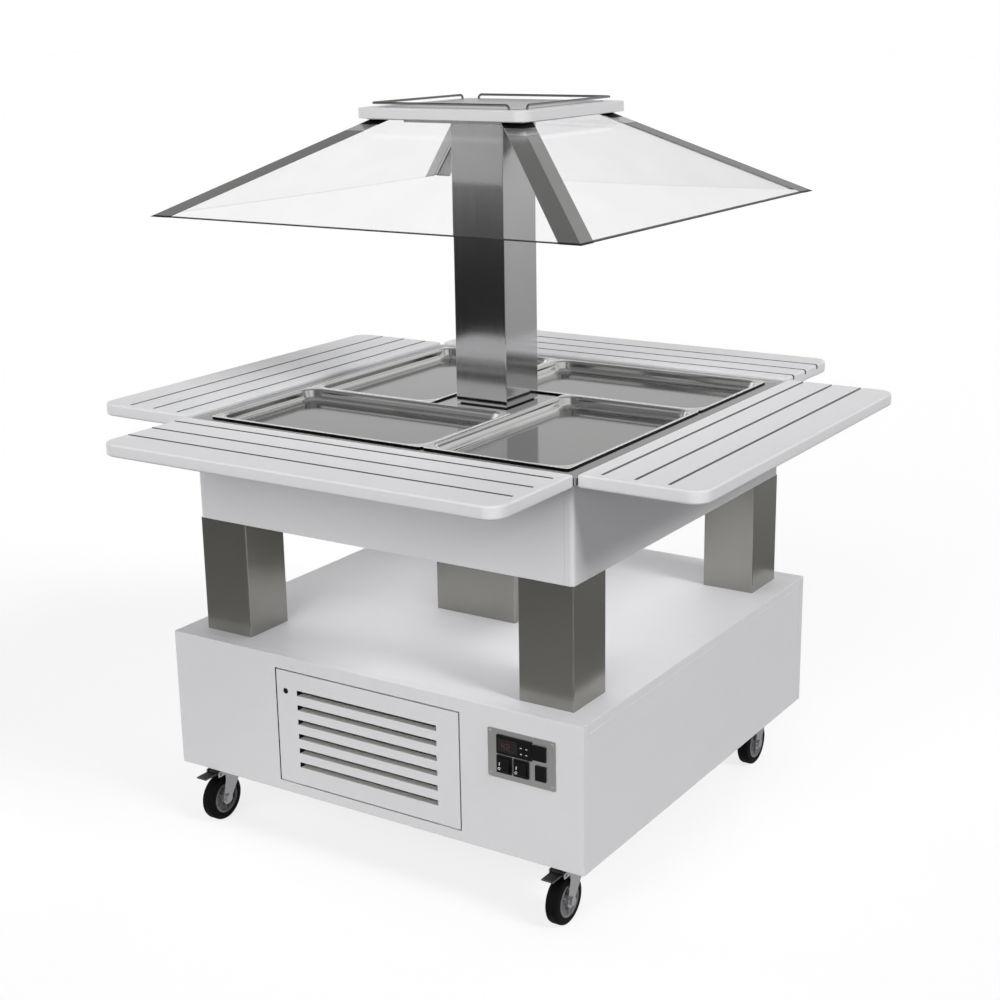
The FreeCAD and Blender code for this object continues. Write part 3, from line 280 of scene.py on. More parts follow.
zinc = moulded("bright_zinc", (0.60, 0.60, 0.62), 0.17, 90.0, metallic=1.0, bump=0.02)
for corner in CORNERS:
    dress(f"caster_fork_{corner}", f"castor_fork_{corner}", zinc, 0.7)


# Castor wheels: a black rubber tyre moulded on a grey plastic hub with six ribs on each side.
# The tread has two shallow grooves and each side wall a fine sunk line.

def both_sides(half):
    """A closed profile from its outer half, mirrored in the wheel's middle plane."""
    return half + [(radius, -height) for radius, height in reversed(half)] + half[:1]


rubber = moulded("castor_rubber", (0.004, 0.004, 0.0042), 0.55, 140.0, bump=0.25, edge=0.02, shine=0.1)
hub_grey = moulded("hub_plastic", (0.20, 0.20, 0.21), 0.42, 110.0, edge=0.1)
TYRE_PROFILE = both_sides([(34, 13.5), (38, 13.5), (38.4, 13), (39, 13), (39.4, 13.5), (43, 13.5),
                           (46.6, 12.7), (49, 10.9), (50, 8.2), (50, 5.9), (49.2, 5.3), (50, 4.7)])
HUB_PROFILE = both_sides([(5.05, 15.2), (11.8, 15.2), (13, 14.1), (14, 8), (27.6, 8), (29, 9.4),
                          (29.4, 12.9), (30, 13.5), (34, 13.5)])
RIBS = 6
RIB_SIZE = (17, 3.2, 5)
RIB_RADIUS, RIB_OUT = 21.5 * MM, 9.8 * MM
ALONG_X = Matrix.Rotation(math.pi / 2, 4, "Y")
for corner in CORNERS:
    low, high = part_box(f"caster_wheel_{corner}")
    axle = Matrix.Translation((low + high) / 2) @ ALONG_X
    bm = bmesh.new()
    turned(bm, TYRE_PROFILE, axle, 64)
    turned(bm, HUB_PROFILE, axle, 48, 1)
    for side in (-RIB_OUT, RIB_OUT):
        for number in range(RIBS):
            rib = bmesh.ops.create_cube(bm, size=MM)["verts"]
            spoke = axle @ Matrix.Rotation(math.tau * number / RIBS, 4, "Z")
            bmesh.ops.scale(bm, vec=RIB_SIZE, verts=rib)
            bmesh.ops.transform(bm, matrix=spoke @ Matrix.Translation((RIB_RADIUS, 0, side)), verts=rib)
            for face in {face for vert in rib for face in vert.link_faces}:
                face.material_index = 1
    make(f"castor_wheel_{corner}", bm, [rubber, hub_grey], f"caster_wheel_{corner}")


# Brake pedals of the two front castors: a folded lever in black zinc on a pin through the fork's lugs.
# Its edges are rubbed bright by shoes, and made brighter by a painted highlight.

pedal_zinc_worn_and_highlighted = moulded("black_zinc_worn_and_highlighted", BLACK_ZINC, 0.24, 90.0, metallic=1.0, bump=0.04, edge=2.5)
for corner in CORNERS[:2]:
    dress(f"brake_pedal_{corner}", f"castor_pedal_{corner}", pedal_zinc_worn_and_highlighted, 0.8)


# Base box: boards faced with white laminate, glued and screwed from inside.
# The front and back run the full width, with the sides and the deck between them.

WHITE = (0.80, 0.80, 0.82)

# Stretched grain: the laminate's pressed fibre and the steel's brushing both use it
streaks, feed, taken = effect("streaks", [("Run", "NodeSocketVector", (1, 1, 1))], ["Fine", "Broad"])
spot = put(streaks, "TexCoord").outputs["Object"]
drawn = put(streaks, "VectorMath", {0: spot, 1: feed["Run"]}, operation="MULTIPLY").outputs[0]
hairs = put(streaks, "TexNoise", {"Vector": drawn, "Scale": 1.0, "Detail": 4.0, "Roughness": 0.6})
bands = put(streaks, "TexNoise", {"Vector": drawn, "Scale": 0.11, "Detail": 2.0})
streaks.links.new(ramp(streaks, hairs.outputs["Fac"], 0, 1, 0.28, 0.72), taken["Fine"])
streaks.links.new(ramp(streaks, bands.outputs["Fac"], 0, 1, 0.3, 0.7), taken["Broad"])


def laminate(name, run, colour=WHITE):
    """Laminate whose pressed fibre has the given scale along each axis."""
    material, tree, shader = new_material(name, colour, 0.42)
    fibre = put(tree, "Group", {"Run": run}, node_tree=streaks)
    cloud = put(tree, "Group", {"Scale": 7.0}, node_tree=mottle)
    eased_edge_mask = put(tree, "Group", {"Amount": 0.35}, node_tree=edge_wear_and_highlight)
    grain = blend(tree, fibre.outputs["Fine"], shade(colour, 0.972), shade(colour, 1.012))
    body = blend(tree, ramp(tree, cloud.outputs["Soft"], 0, 0.25), grain, shade(colour, 0.95))
    tree.links.new(blend(tree, eased_edge_mask.outputs["Mask"], body, shade(colour, 0.86)), shader.inputs["Base Color"])
    tree.links.new(ramp(tree, fibre.outputs["Broad"], 0.37, 0.48), shader.inputs["Roughness"])
    pressed = put(tree, "Bump", {"Strength": 0.12, "Distance": 0.15 * MM, "Height": fibre.outputs["Fine"]})
    tree.links.new(pressed.outputs["Normal"], shader.inputs["Normal"])
    return material


FINE, LONG = 900.0, 14.0
GRAIN_X, GRAIN_Y = (LONG, FINE, FINE), (FINE, LONG, FINE)
laminate_x = laminate("white_laminate_along_x", GRAIN_X)
laminate_y = laminate("white_laminate_along_y", GRAIN_Y)
BASE_BOARDS = {"base_side_panels": laminate_y, "base_deck": laminate_x, "base_floor": laminate_x}
for node, white in BASE_BOARDS.items():
    dress(node, f"{node}_board", white, 1.0)

gap_shade = moulded("painted_gap_shade", (0.012, 0.012, 0.012), 0.7, 60.0, bump=0.3, edge=0.0, shine=0.2)


def cut_board(node, name, low, high, white_sill):
    """A board along X, its cut faces between two corners painted dark as shade, apart from a sill that stays
    white.
    """
    bm = welded(node)
    for face in bm.faces:
        spot = face.calc_center_median()
        inside = low.x < spot.x < high.x and low.z < spot.z < high.z
        if inside and abs(face.normal.y) < 0.5 and not (white_sill and face.normal.z > 0.5):
            face.material_index = 1
    ease(bm, 1.0, lambda edge: not any(face.material_index for face in edge.link_faces))
    make(name, bm, [laminate_x, gap_shade], node)


# Painted shade on the top and sides of the doorway is what shows dark round the door
DOOR_ROOM = Vector((4, 0, 4)) * MM
low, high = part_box("grille_door")
cut_board("base_front_panel", "base_front_board", low - DOOR_ROOM, high + DOOR_ROOM, True)

# In the back panel the painted shade lies in the air slots and the cord hole
BACK_MARGIN = Vector((30, 0, 30)) * MM
low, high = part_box("base_back_panel")
cut_board("base_back_panel", "base_back_panel_board", low + BACK_MARGIN, high - BACK_MARGIN, False)


# Grille door: one laminated board with six plain air slots routed through it, on two hidden pivot pins.
# The slots have grey floors and painted shade inside, and a quarter-turn lock holds the free edge.

LOUVRE_END = 172 * MM
NEAR = 0.1 * MM
sill_grey = laminate("sill_grey", GRAIN_X, (0.78, 0.77, 0.74))
corners = [vert.co for vert in frame["nodes"]["grille_door"].data.vertices]
levels = sorted({round(spot.z, 5) for spot in corners if abs(abs(spot.x) - LOUVRE_END) < NEAR})
bm = welded("grille_door", [((x, 0, 0), (1, 0, 0)) for x in (-LOUVRE_END, LOUVRE_END)]
            + [((0, 0, z), (0, 0, 1)) for z in levels])
# Of the faces that run through the board there, those that look up are grey and the rest painted dark as
# shade
for face in bm.faces:
    if abs(face.normal.y) < 0.9 and abs(face.calc_center_median().x) < LOUVRE_END + MM:
        face.material_index = 2 if face.normal.z > 0.3 else 1
make("grille_door_board", bm, [laminate_x, gap_shade, sill_grey], "grille_door")
dress("door_pivots", "door_pins", zinc)

black = moulded("black_plastic_satin", (0.004, 0.004, 0.0042), 0.42, 120.0, bump=0.12, edge=0.04, shine=0.2)
LOCK_PROFILE = [(0, 0.1), (4.2, 0.1), (4.6, 0.5), (5.2, 0.5), (5.6, 0), (0, -0.4)]
LOCK_CAP = 2 * MM
FACE_FRONT = Matrix.Rotation(math.pi / 2, 4, "X")
bm = welded("door_lock")
ease(bm, 0.4)
lock_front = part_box("door_lock")[0].y
lock = PIVOTS["lock_turn"]
turned(bm, LOCK_PROFILE, Matrix.Translation((lock.x, lock_front, lock.z)) @ FACE_FRONT, 32, 1)
for face in bm.faces:
    if face.calc_center_median().y < lock_front + LOCK_CAP:
        face.material_index = 1
make("door_lock_barrel", bm, [zinc, black], "door_lock")


# Control plate: brushed steel sheet over a cut-out in the base's front, which carries the controls.
# A small lens-head screw holds each corner.

def steel(name, colour, roughness, run, bump=0.02, grain=0.03):
    """Brushed metal whose hairlines have the given scale along each axis, and strength."""
    material, tree, shader = new_material(name, colour, roughness, 1.0)
    hair = put(tree, "Group", {"Run": run}, node_tree=streaks)
    cloud = put(tree, "Group", {"Scale": 6.0}, node_tree=mottle)
    eased_edge_mask = put(tree, "Group", {"Amount": 0.3}, node_tree=edge_wear_and_highlight)
    brushed = blend(tree, hair.outputs["Fine"], shade(colour, 1 - grain), shade(colour, 1 + grain))
    body = blend(tree, ramp(tree, cloud.outputs["Soft"], 0, 0.4), brushed, shade(colour, 0.86))
    # The eased edges turn paler: partly wear, partly a painted highlight
    tree.links.new(blend(tree, eased_edge_mask.outputs["Mask"], body, paler(colour, 0.35)), shader.inputs["Base Color"])
    gloss = ramp(tree, hair.outputs["Broad"], roughness - grain, roughness + grain)
    tree.links.new(gloss, shader.inputs["Roughness"])
    scratched = put(tree, "Bump", {"Strength": bump, "Distance": 0.1 * MM, "Height": hair.outputs["Fine"]})
    tree.links.new(scratched.outputs["Normal"], shader.inputs["Normal"])
    return material


STAINLESS = (0.52, 0.52, 0.52)
HAIR, DRAWN = 2600.0, 16.0
HAIR_X, HAIR_Y, HAIR_Z = (DRAWN, HAIR, HAIR), (HAIR, DRAWN, HAIR), (HAIR, HAIR, DRAWN)
NO_RUN = (HAIR, HAIR, HAIR)
SCREW_PROFILE = [(0, 0.9), (1.2, 0.85), (2.6, 0.5), (3.3, 0), (0, -0.5)]
SCREW_IN = 7 * MM
plate_steel = steel("control_plate_steel", (0.64, 0.63, 0.62), 0.34, HAIR_X)
bright = moulded("bright_screw", (0.62, 0.62, 0.63), 0.2, 200.0, metallic=1.0)
bm = welded("control_plate")
ease(bm, 0.5)
low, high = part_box("control_plate")
for x in (low.x + SCREW_IN, high.x - SCREW_IN):
    for z in (low.z + SCREW_IN, high.z - SCREW_IN):
        turned(bm, SCREW_PROFILE, Matrix.Translation((x, low.y, z)) @ FACE_FRONT, 24, 1)
make("control_plate_sheet", bm, [plate_steel, bright], "control_plate")


# Thermostat: a clipped-in black plastic controller with a smoked display window and a foil keypad.
# The keys are printed marks on the foil, and the two digits are lit bars.

def block(bm, low, high, index=0, round_by=0.0):
    """A small block between two corners in millimetres, its edges eased."""
    verts = bmesh.ops.create_cube(bm, size=1.0)["verts"]
    low, high = Vector(low) * MM, Vector(high) * MM
    bmesh.ops.scale(bm, vec=high - low, verts=verts)
    bmesh.ops.translate(bm, vec=(low + high) / 2, verts=verts)
    faces = {face for vert in verts for face in vert.link_faces}
    for face in faces:
        face.material_index = index
    if round_by:
        edges = {edge for face in faces for edge in face.edges}
        bmesh.ops.bevel(bm, geom=list(edges), offset=round_by * MM, segments=2, profile=0.5, affect="EDGES",
                        material=-1, clamp_overlap=True)
    return verts


window = moulded("smoked_window", (0.010, 0.004, 0.004), 0.2, 120.0, bump=0.0, edge=0.0)
digits, tree, shader = new_material("lit_digits", (0.05, 0.02, 0.02), 0.4)
glow = put(tree, "Group", {"Scale": 900.0}, node_tree=mottle)
tree.links.new(blend(tree, glow.outputs["Soft"], (0.34, 0.10, 0.10, 1), (0.45, 0.14, 0.14, 1)),
               shader.inputs["Emission Color"])
shader.inputs["Emission Strength"].default_value = 0.12
print_white = moulded("printed_white", (0.80, 0.80, 0.80), 0.5, 300.0, bump=0.0, edge=0.0)

# Places from the case's lower left corner, and sizes, all in millimetres
WINDOW_LEFT, WINDOW_RIGHT, WINDOW_MARGIN, WINDOW_PROUD = 4, 47, 6, 0.4
DIGIT_LEFT, DIGIT_PITCH, DIGIT_FOOT = 12, 11, 10.5
DIGIT_WIDE, DIGIT_TALL, BAR = 7.0, 13.0, 1.3
BAR_OUT, BAR_IN = 0.5, 0.3
KEY_COLUMNS, KEY_ROWS = (55, 67), (10, 22)
KEY_WIDE, KEY_TALL, KEY_OUT, KEY_IN = 4.0, 1.4, 0.15, 0.2
# Bars of each digit in the order top, upper right, lower right, bottom, lower left, upper left, middle
SHAPES = {"2": "1101101", "4": "0110011"}
bm = welded("thermostat")
ease(bm, 0.8)
low, high = [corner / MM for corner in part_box("thermostat")]
face_y = low.y
block(bm, (low.x + WINDOW_LEFT, face_y - WINDOW_PROUD, low.z + WINDOW_MARGIN),
      (low.x + WINDOW_RIGHT, face_y + WINDOW_PROUD, high.z - WINDOW_MARGIN), 1, 0.2)
for place, digit in enumerate("42"):
    left = low.x + DIGIT_LEFT + place * DIGIT_PITCH
    right = left + DIGIT_WIDE
    foot = low.z + DIGIT_FOOT
    middle = foot + DIGIT_TALL / 2
    head = foot + DIGIT_TALL
    bars = [((left, head - BAR), (right, head)), ((right - BAR, middle), (right, head)),
            ((right - BAR, foot), (right, middle)), ((left, foot), (right, foot + BAR)),
            ((left, foot), (left + BAR, middle)), ((left, middle), (left + BAR, head)),
            ((left, middle - BAR / 2), (right, middle + BAR / 2))]
    for lit, ((x0, z0), (x1, z1)) in zip(SHAPES[digit], bars):
        if lit == "1":
            block(bm, (x0, face_y - BAR_OUT, z0), (x1, face_y - BAR_IN, z1), 2)
for x in (low.x + column for column in KEY_COLUMNS):
    for z in (low.z + row for row in KEY_ROWS):
        block(bm, (x - KEY_WIDE / 2, face_y - KEY_OUT, z - KEY_TALL / 2),
              (x + KEY_WIDE / 2, face_y + KEY_IN, z + KEY_TALL / 2), 3, 0.05)
make("thermostat_case", bm, [black, window, digits, print_white], "thermostat")


# Switch frames and blanking blocks: moulded in black plastic.
# They are clipped into the control plate below and beside the thermostat.

dress("switch_blocks", "switch_frames", black, 0.5)


# Rockers: black plastic caps that tip in their frames on moulded pins.
# Each is printed with the usual stroke for on and ring for off.

ROCKER_TILT = math.radians(-8)
SWITCHES = {"power_rocker": "power_switch", "lamp_rocker": "lamp_switch"}
STROKE_LOW, STROKE_HIGH = (-8.8, -7.15, -2), (-7.2, -6.9, 4)
RING_PROFILE = [(1.7, 0), (1.7, 0.15), (2.7, 0.15), (2.7, 0), (1.7, 0)]
RING_PLACE = Matrix.Translation((-8 * MM, -7 * MM, -8 * MM)) @ FACE_FRONT
for node, joint in SWITCHES.items():
    bm = welded(node)
    ease(bm, 0.6)
    tipped = Matrix.Translation(PIVOTS[joint]) @ Matrix.Rotation(ROCKER_TILT, 4, "X")
    stroke = block(bm, STROKE_LOW, STROKE_HIGH, 1)
    bmesh.ops.transform(bm, matrix=tipped, verts=stroke)
    turned(bm, RING_PROFILE, tipped @ RING_PLACE, 24, 1)
    make(f"{node}_cap", bm, [black, print_white], node)


# Cable gland: a black plastic screwed gland in the back panel, with a hexagon nut on each side.
# Its bore is open, ready for a cable.

FACE_BACK = Matrix.Rotation(-math.pi / 2, 4, "X")
BORE, THREAD, NUT, NUT_HIGH = 4, 10, 15, 6
low, high = [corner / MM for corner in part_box("cable_gland")]
gland = Matrix.Translation(((high.x - NUT) * MM, 0, (low.z + high.z) / 2 * MM)) @ FACE_BACK
inner, outer = low.y + NUT_HIGH, high.y - NUT_HIGH
bm = bmesh.new()
turned(bm, [(BORE, low.y), (NUT, low.y), (NUT, inner), (BORE, inner), (BORE, low.y)], gland, 6)
turned(bm, [(BORE, inner), (THREAD, inner), (THREAD, outer), (BORE, outer), (BORE, inner)], gland, 32)
turned(bm, [(BORE, outer), (NUT, outer), (NUT - 0.4, high.y - 1.5), (NUT - 2.4, high.y), (BORE + 0.6, high.y),
            (BORE, high.y - 0.6), (BORE, outer)], gland, 6)
make("cable_gland_nuts", bm, [black], "cable_gland")


# Cooling unit: a finned aluminium condenser, a galvanised fan frame with its motor, a black fan
# and a hermetic compressor in black paint, all bolted to the base's floor behind the grille.

fins = steel("condenser_aluminium", (0.62, 0.63, 0.64), 0.38, HAIR_Z)
black_paint = moulded("black_enamel", (0.02, 0.02, 0.021), 0.3, 30.0, bump=0.1, edge=0.2)
dress("condenser", "condenser_fins", fins)
dress("fan_frame", "fan_frame_sheet", zinc, 0.4)
dress("fan_rotor", "fan_blades", black, 0.6)
dress("compressor", "compressor_pot", black_paint, 2.0, lambda edge: sharp(edge, 60))


# Legs and middle duct: welded square tube in brushed stainless steel, grained upright,
# screwed between the base's deck and the cabinet's floor.

def upright(edge):
    """True for edges that run along Z."""
    first, second = (vert.co for vert in edge.verts)
    return abs(first.z - second.z) > 0.9 * (first - second).length


# The legs' and duct's stainless is painted darker than the post's, as painted shade under the cabinet
shaded_leg_steel = steel("shaded_leg_steel", (0.32, 0.314, 0.29), 0.24, HAIR_Z, bump=0.004, grain=0.01)
dress("legs", "leg_tubes", shaded_leg_steel, 2.5, upright, 4)
dress("centre_duct", "duct_tube", shaded_leg_steel, 2.5, upright, 4)


# Cabinet: white laminated boards round the well, on a floor of the same board.
# The side boards, with rounded corners, cover the ends of the front and back ones.

CABINET_BOARDS = {"cabinet_side_panels": laminate_y, "cabinet_end_panels": laminate_x,
                  "cabinet_floor": laminate_x}
for node, white in CABINET_BOARDS.items():
    dress(node, f"{node}_boards", white, 1.0)


# Well: a folded and welded stainless tub with a flange and turned-down lip, set in foam.
# An aluminium cold plate lies on its floor, and a welded cross carries the pans' inner rims.

SATIN = {"bump": 0.005, "grain": 0.015}
# The tub's stainless is painted darker than the cross's, as painted shade
shaded_well_steel = steel("shaded_well_steel", (0.37, 0.37, 0.365), 0.13, HAIR_X, **SATIN)
cross_steel = steel("cross_steel", STAINLESS, 0.13, HAIR_X, **SATIN)
foam = moulded("insulation", (0.62, 0.55, 0.38), 0.9, 80.0, bump=0.5, edge=0.0)
dress("well_tub", "well_sheet", shaded_well_steel, 1.2)
dress("well_insulation", "well_foam", foam)
dress("cold_plate", "cold_sheet", fins, 0.5)
dress("pan_support_cross", "support_cross", cross_steel, 0.6)


# Food pans: deep-drawn satin stainless steel, with a narrow rolled rim, sloping walls and a round floor edge.
# They hang by their rims, set as a pinwheel round the post; the roll's cut side is painted dark as shade, its
# top pale as a painted highlight, and the walls paler than the floor as painted reflection.

def rounded_loop(bm, low, high, inset, radius, height):
    """A rounded rectangle of edges, in millimetres, drawn in from two corners."""
    old = set(bm.edges)
    corners = bmesh.ops.create_grid(bm, x_segments=1, y_segments=1, size=0.5)["verts"]
    size = (high - low) - Vector((2 * inset, 2 * inset, 0))
    middle = (low + high) / 2
    bmesh.ops.scale(bm, vec=(size.x * MM, size.y * MM, 1), verts=corners)
    bmesh.ops.translate(bm, vec=(middle.x * MM, middle.y * MM, height * MM), verts=corners)
    bmesh.ops.bevel(bm, geom=corners, offset=radius * MM, segments=10, profile=0.5, affect="VERTICES",
                    material=-1, clamp_overlap=False)
    loop = [edge for edge in bm.edges if edge not in old]
    inside = {face for edge in loop for face in edge.link_faces}
    bmesh.ops.delete(bm, geom=list(inside), context="FACES_ONLY")
    return loop


# Inset from the rim's edge, corner radius and height above the pan's floor
RIM_PROFILE = [(0, 8, 18.6), (0, 8, 21.9), (0.3, 7.7, 22.5), (1.0, 7.0, 22.9), (2.0, 6.0, 23)]
BASIN_PROFILE = [(5.2, 40, 23), (6.6, 38.6, 22.6), (7.8, 37.4, 21.6), (9.0, 36.2, 19.8), (13.0, 32.2, 9.0),
                 (14.6, 30.6, 5.6), (17.0, 28.2, 2.8), (20.4, 24.8, 0.9), (25, 20.2, 0)]
PAN_SHEET = 1.5
# The roll's side is painted near-black as shade, and its top pale as a painted highlight
roll_painted_shade = steel("pan_roll_side", (0.03, 0.03, 0.03), 0.4, NO_RUN)
roll_painted_highlight = moulded("pan_roll_top", (0.88, 0.88, 0.88), 0.25, 60.0, metallic=0.4, bump=0.0, edge=0.0)
for corner in CORNERS:
    node = f"pan_{corner}"
    low, high = [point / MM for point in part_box(node)]
    long_way = HAIR_X if high.x - low.x > high.y - low.y else HAIR_Y
    # Walls and floor are one steel, painted pale on the walls and dark on the floor as painted reflection
    lit_wall_reflection = steel(f"{node}_lit_wall_reflection", (0.80, 0.80, 0.79), 0.12, long_way, **SATIN)
    dark_floor_reflection = steel(f"{node}_dark_floor_reflection", (0.42, 0.42, 0.415), 0.09, long_way, **SATIN)
    bm = bmesh.new()
    floor = low.z + PAN_SHEET
    rim, basin = (
        [rounded_loop(bm, low, high, inset, radius, floor + rise) for inset, radius, rise in profile]
        for profile in (RIM_PROFILE, BASIN_PROFILE))
    for index, loops in ((1, rim[:2]), (2, rim[1:]), (0, basin)):
        for upper, lower in zip(loops, loops[1:]):
            for face in bmesh.ops.bridge_loops(bm, edges=upper + lower)["faces"]:
                face.material_index = index
    bmesh.ops.triangle_fill(bm, edges=rim[-1] + basin[0], use_beauty=True)
    for face in bmesh.ops.edgeloop_fill(bm, edges=basin[-1])["faces"]:
        face.material_index = 3
    bmesh.ops.recalc_face_normals(bm, faces=bm.faces)
    if sum(face.normal.z for face in bm.faces) < 0:
        bmesh.ops.reverse_faces(bm, faces=bm.faces)
    piece = make(f"{node}_pressed", bm, [lit_wall_reflection, roll_painted_shade, roll_painted_highlight, dark_floor_reflection], node)
    sheet = piece.modifiers.new("sheet", "SOLIDIFY")
    sheet.thickness = PAN_SHEET * MM
    sheet.offset = -1
    piece.modifiers.move(1, 0)


# Folding shelves: white laminated boards with soft edges and three routed grooves that stop short of one end.
# Each lies on two steel straps that turn on hinge pins below the cabinet's rim.

def on_outline(edge, low, high):
    """True for the edges between a board's faces and its outer sides."""
    ends = {round(vert.co.z / MM, 2) for vert in edge.verts}
    if len(ends) > 1 or not ends & {round(low.z / MM, 2), round(high.z / MM, 2)}:
        return False
    for face in edge.link_faces:
        heights = [vert.co.z for vert in face.verts]
        if abs(face.normal.z) < 0.3 and min(heights) < low.z + MM and max(heights) > high.z - MM:
            return True
    return False


GROOVE_DEEP = 10 * MM
# The grooves' walls and floors are painted dark as shade, darker in those along X than in those along Y
groove_shade_x = laminate("painted_groove_shade_along_x", GRAIN_X, (0.11, 0.11, 0.112))
groove_shade_y = laminate("painted_groove_shade_along_y", GRAIN_Y, (0.22, 0.22, 0.225))
along_x, along_y = [laminate_x, groove_shade_x], [laminate_y, groove_shade_y]
SHELVES = {"front": along_x, "right": along_y, "back": along_x, "left": along_y}
for side, whites in SHELVES.items():
    node = f"shelf_{side}"
    low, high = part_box(node)
    bm = welded(node)
    for face in bm.faces:
        heights = [vert.co.z for vert in face.verts]
        wall = min(heights) > high.z - GROOVE_DEEP - MM / 2 and face.normal.z < 0.5
        floor = max(heights) < high.z - GROOVE_DEEP + MM and face.normal.z > 0.5
        if wall or floor:
            face.material_index = 1
    ease(bm, 5.0, lambda edge: on_outline(edge, low, high), 5)
    make(f"{node}_board", bm, whites, node)
    dress(f"{node}_straps", f"{node}_steel_straps", zinc, 0.6)
dress("shelf_hinges", "shelf_hinge_brackets", zinc, 0.6)


# Post: a tall square tube of brushed stainless steel on a recessed dark foot, which carries the head.
# The tube's skin runs down over most of the foot, so that only a dark line shows.

SKIRT = 6 * MM
foot_black = moulded("foot_dark", (0.03, 0.03, 0.03), 0.5, 80.0)
post_steel = steel("post_steel", STAINLESS, 0.10, HAIR_Z, **SATIN)
dress("post_foot", "post_foot_block", foot_black, 0.5)
bm = welded("canopy_post")
post_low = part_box("canopy_post")[0].z
for vert in bm.verts:
    if vert.co.z < post_low + MM:
        vert.co.z -= SKIRT
ease(bm, 2.0, upright, 4)
make("post_tube", bm, [post_steel], "canopy_post")


# Head: a steel plate on the post, which carries the canopy and the top board.
# An opal lamp panel for the food is screwed under it.

head_steel = steel("head_steel", STAINLESS, 0.32, HAIR_X)
opal = moulded("lamp_opal_cover", (0.78, 0.78, 0.76), 0.35, 60.0, bump=0.05, edge=0.0)
dress("head_plate", "head_sheet", head_steel, 0.5)
dress("lamp_panel", "lamp_cover", opal, 1.5)


# Canopy panes: four clear sheets with polished edges, which show dark.
# They are held by the hip covers and the head.

def either_shader(tree, factor, first, second):
    """Mix two shaders."""
    return put(tree, "MixShader", {0: factor, 1: first.outputs[0], 2: second.outputs[0]})


PANE_IOR = 1.22
CANOPY_TOP_HALF = 175 * MM


def clear_sheet(name, colour, roughness):
    """Clear sheet that lets lamp light through as the real one does."""
    material, tree, shader = new_material(name, colour, roughness)
    shader.inputs["Transmission Weight"].default_value = 1.0
    shader.inputs["IOR"].default_value = PANE_IOR
    film = put(tree, "Group", {"Scale": 9.0}, node_tree=mottle)
    tint = blend(tree, film.outputs["Soft"], shade(colour, 0.985), shade(colour, 1.01))
    tree.links.new(tint, shader.inputs["Base Color"])
    through = put(tree, "BsdfTransparent", {"Color": (*colour, 1)})
    shadow_ray = put(tree, "LightPath").outputs["Is Shadow Ray"]
    either = either_shader(tree, shadow_ray, shader, through)
    tree.links.new(either.outputs[0], tree.nodes["Material Output"].inputs["Surface"])
    return material


pane_clear = clear_sheet("pane_clear", (0.97, 0.97, 0.975), 0.015)
pane_edge = clear_sheet("pane_edge", (0.05, 0.055, 0.055), 0.25)
bm = welded("canopy_panes")
low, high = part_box("canopy_panes")
slope = math.cos(math.atan2(high.z - low.z, high.x - CANOPY_TOP_HALF))
for face in bm.faces:
    if abs(abs(face.normal.z) - slope) > 0.02:
        face.material_index = 1
make("canopy_sheets", bm, [pane_clear, pane_edge], "canopy_panes")


# Hip covers: folded stainless strips over the joints between the panes.
# A black cap closes each end, the upper one partly painted shade under the top board, and a plain lighter
# band shows where the upper cap is clamped.

FOOT_CAP, HEAD_CAP_AND_SHADE, BAND = 3 * MM, 9 * MM, 20 * MM
hip_steel = steel("hip_steel", (0.39, 0.39, 0.38), 0.24, (HAIR, HAIR, HAIR / 4), grain=0.015)
band_steel = steel("hip_band_steel", (0.85, 0.85, 0.86), 0.3, NO_RUN)
bm = welded("hip_covers")
ease(bm, 0.4)
low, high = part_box("hip_covers")
foot_cap, band, head_cap_and_shade = low.z + FOOT_CAP, high.z - BAND, high.z - HEAD_CAP_AND_SHADE
for level in (foot_cap, band, head_cap_and_shade):
    bmesh.ops.bisect_plane(bm, geom=whole(bm), plane_co=(0, 0, level), plane_no=(0, 0, 1))
for face in bm.faces:
    level = face.calc_center_median().z
    # Both ends are black; at the top this is partly a cap and partly painted shade under the top board
    if level > head_cap_and_shade or level < foot_cap:
        face.material_index = 1
    elif level > band:
        face.material_index = 2
make("hip_strips", bm, [hip_steel, black, band_steel], "hip_covers")


# Top board: white laminate with rounded corners, screwed to the head.
# A steel plate lies on it, inside two rails of bent wire.

tray_steel = steel("tray_steel", STAINLESS, 0.28, HAIR_X)
wire = moulded("rail_wire", (0.22, 0.22, 0.23), 0.14, 90.0, metallic=1.0, edge=0.0)
dress("top_board", "top_board_slab", laminate_x, 1.2)
dress("top_plate", "top_sheet", tray_steel, 0.4)
dress("gallery_rails", "wire_rails", wire)


# Studio: a plain white floor that keeps a soft shadow, a white sky, and a soft lamp on each side.
# Metal mirrors a greyer room: a floor that darkens towards the front, and a dim ceiling.

def looked_at(tree):
    """One where the eye looks, straight or through glass, and one where a mirror image is looked at."""
    path = put(tree, "LightPath").outputs
    image = maths(tree, "GREATER_THAN", path["Glossy Depth"], 0.5)
    through = maths(tree, "GREATER_THAN", path["Is Transmission Ray"], image)
    return maths(tree, "MAXIMUM", path["Is Camera Ray"], through), image


def grey(value):
    """A grey as a colour socket needs it."""
    return (value, value, value, 1)


def greys(tree, value, stops):
    """Look up a grey along a scale of (position, grey) stops."""
    scale = put(tree, "ValToRGB", {"Fac": value})
    marks = scale.color_ramp.elements
    for mark, (position, tone) in zip(list(marks), (stops[0], stops[-1])):
        mark.position = position
        mark.color = grey(tone)
    for position, tone in stops[1:-1]:
        marks.new(position).color = grey(tone)
    return scale.outputs["Color"]


def along(tree, spot, direction):
    """How far a point or direction reaches along another direction."""
    return put(tree, "VectorMath", {0: spot, 1: direction}, operation="DOT_PRODUCT").outputs["Value"]


TO_BACK_RIGHT, TO_BACK_LEFT, TO_FRONT_LEFT = (0.54, 0.84, 0), (-0.84, 0.54, 0), (-0.54, -0.84, 0)
FLOOR_HALF = 60
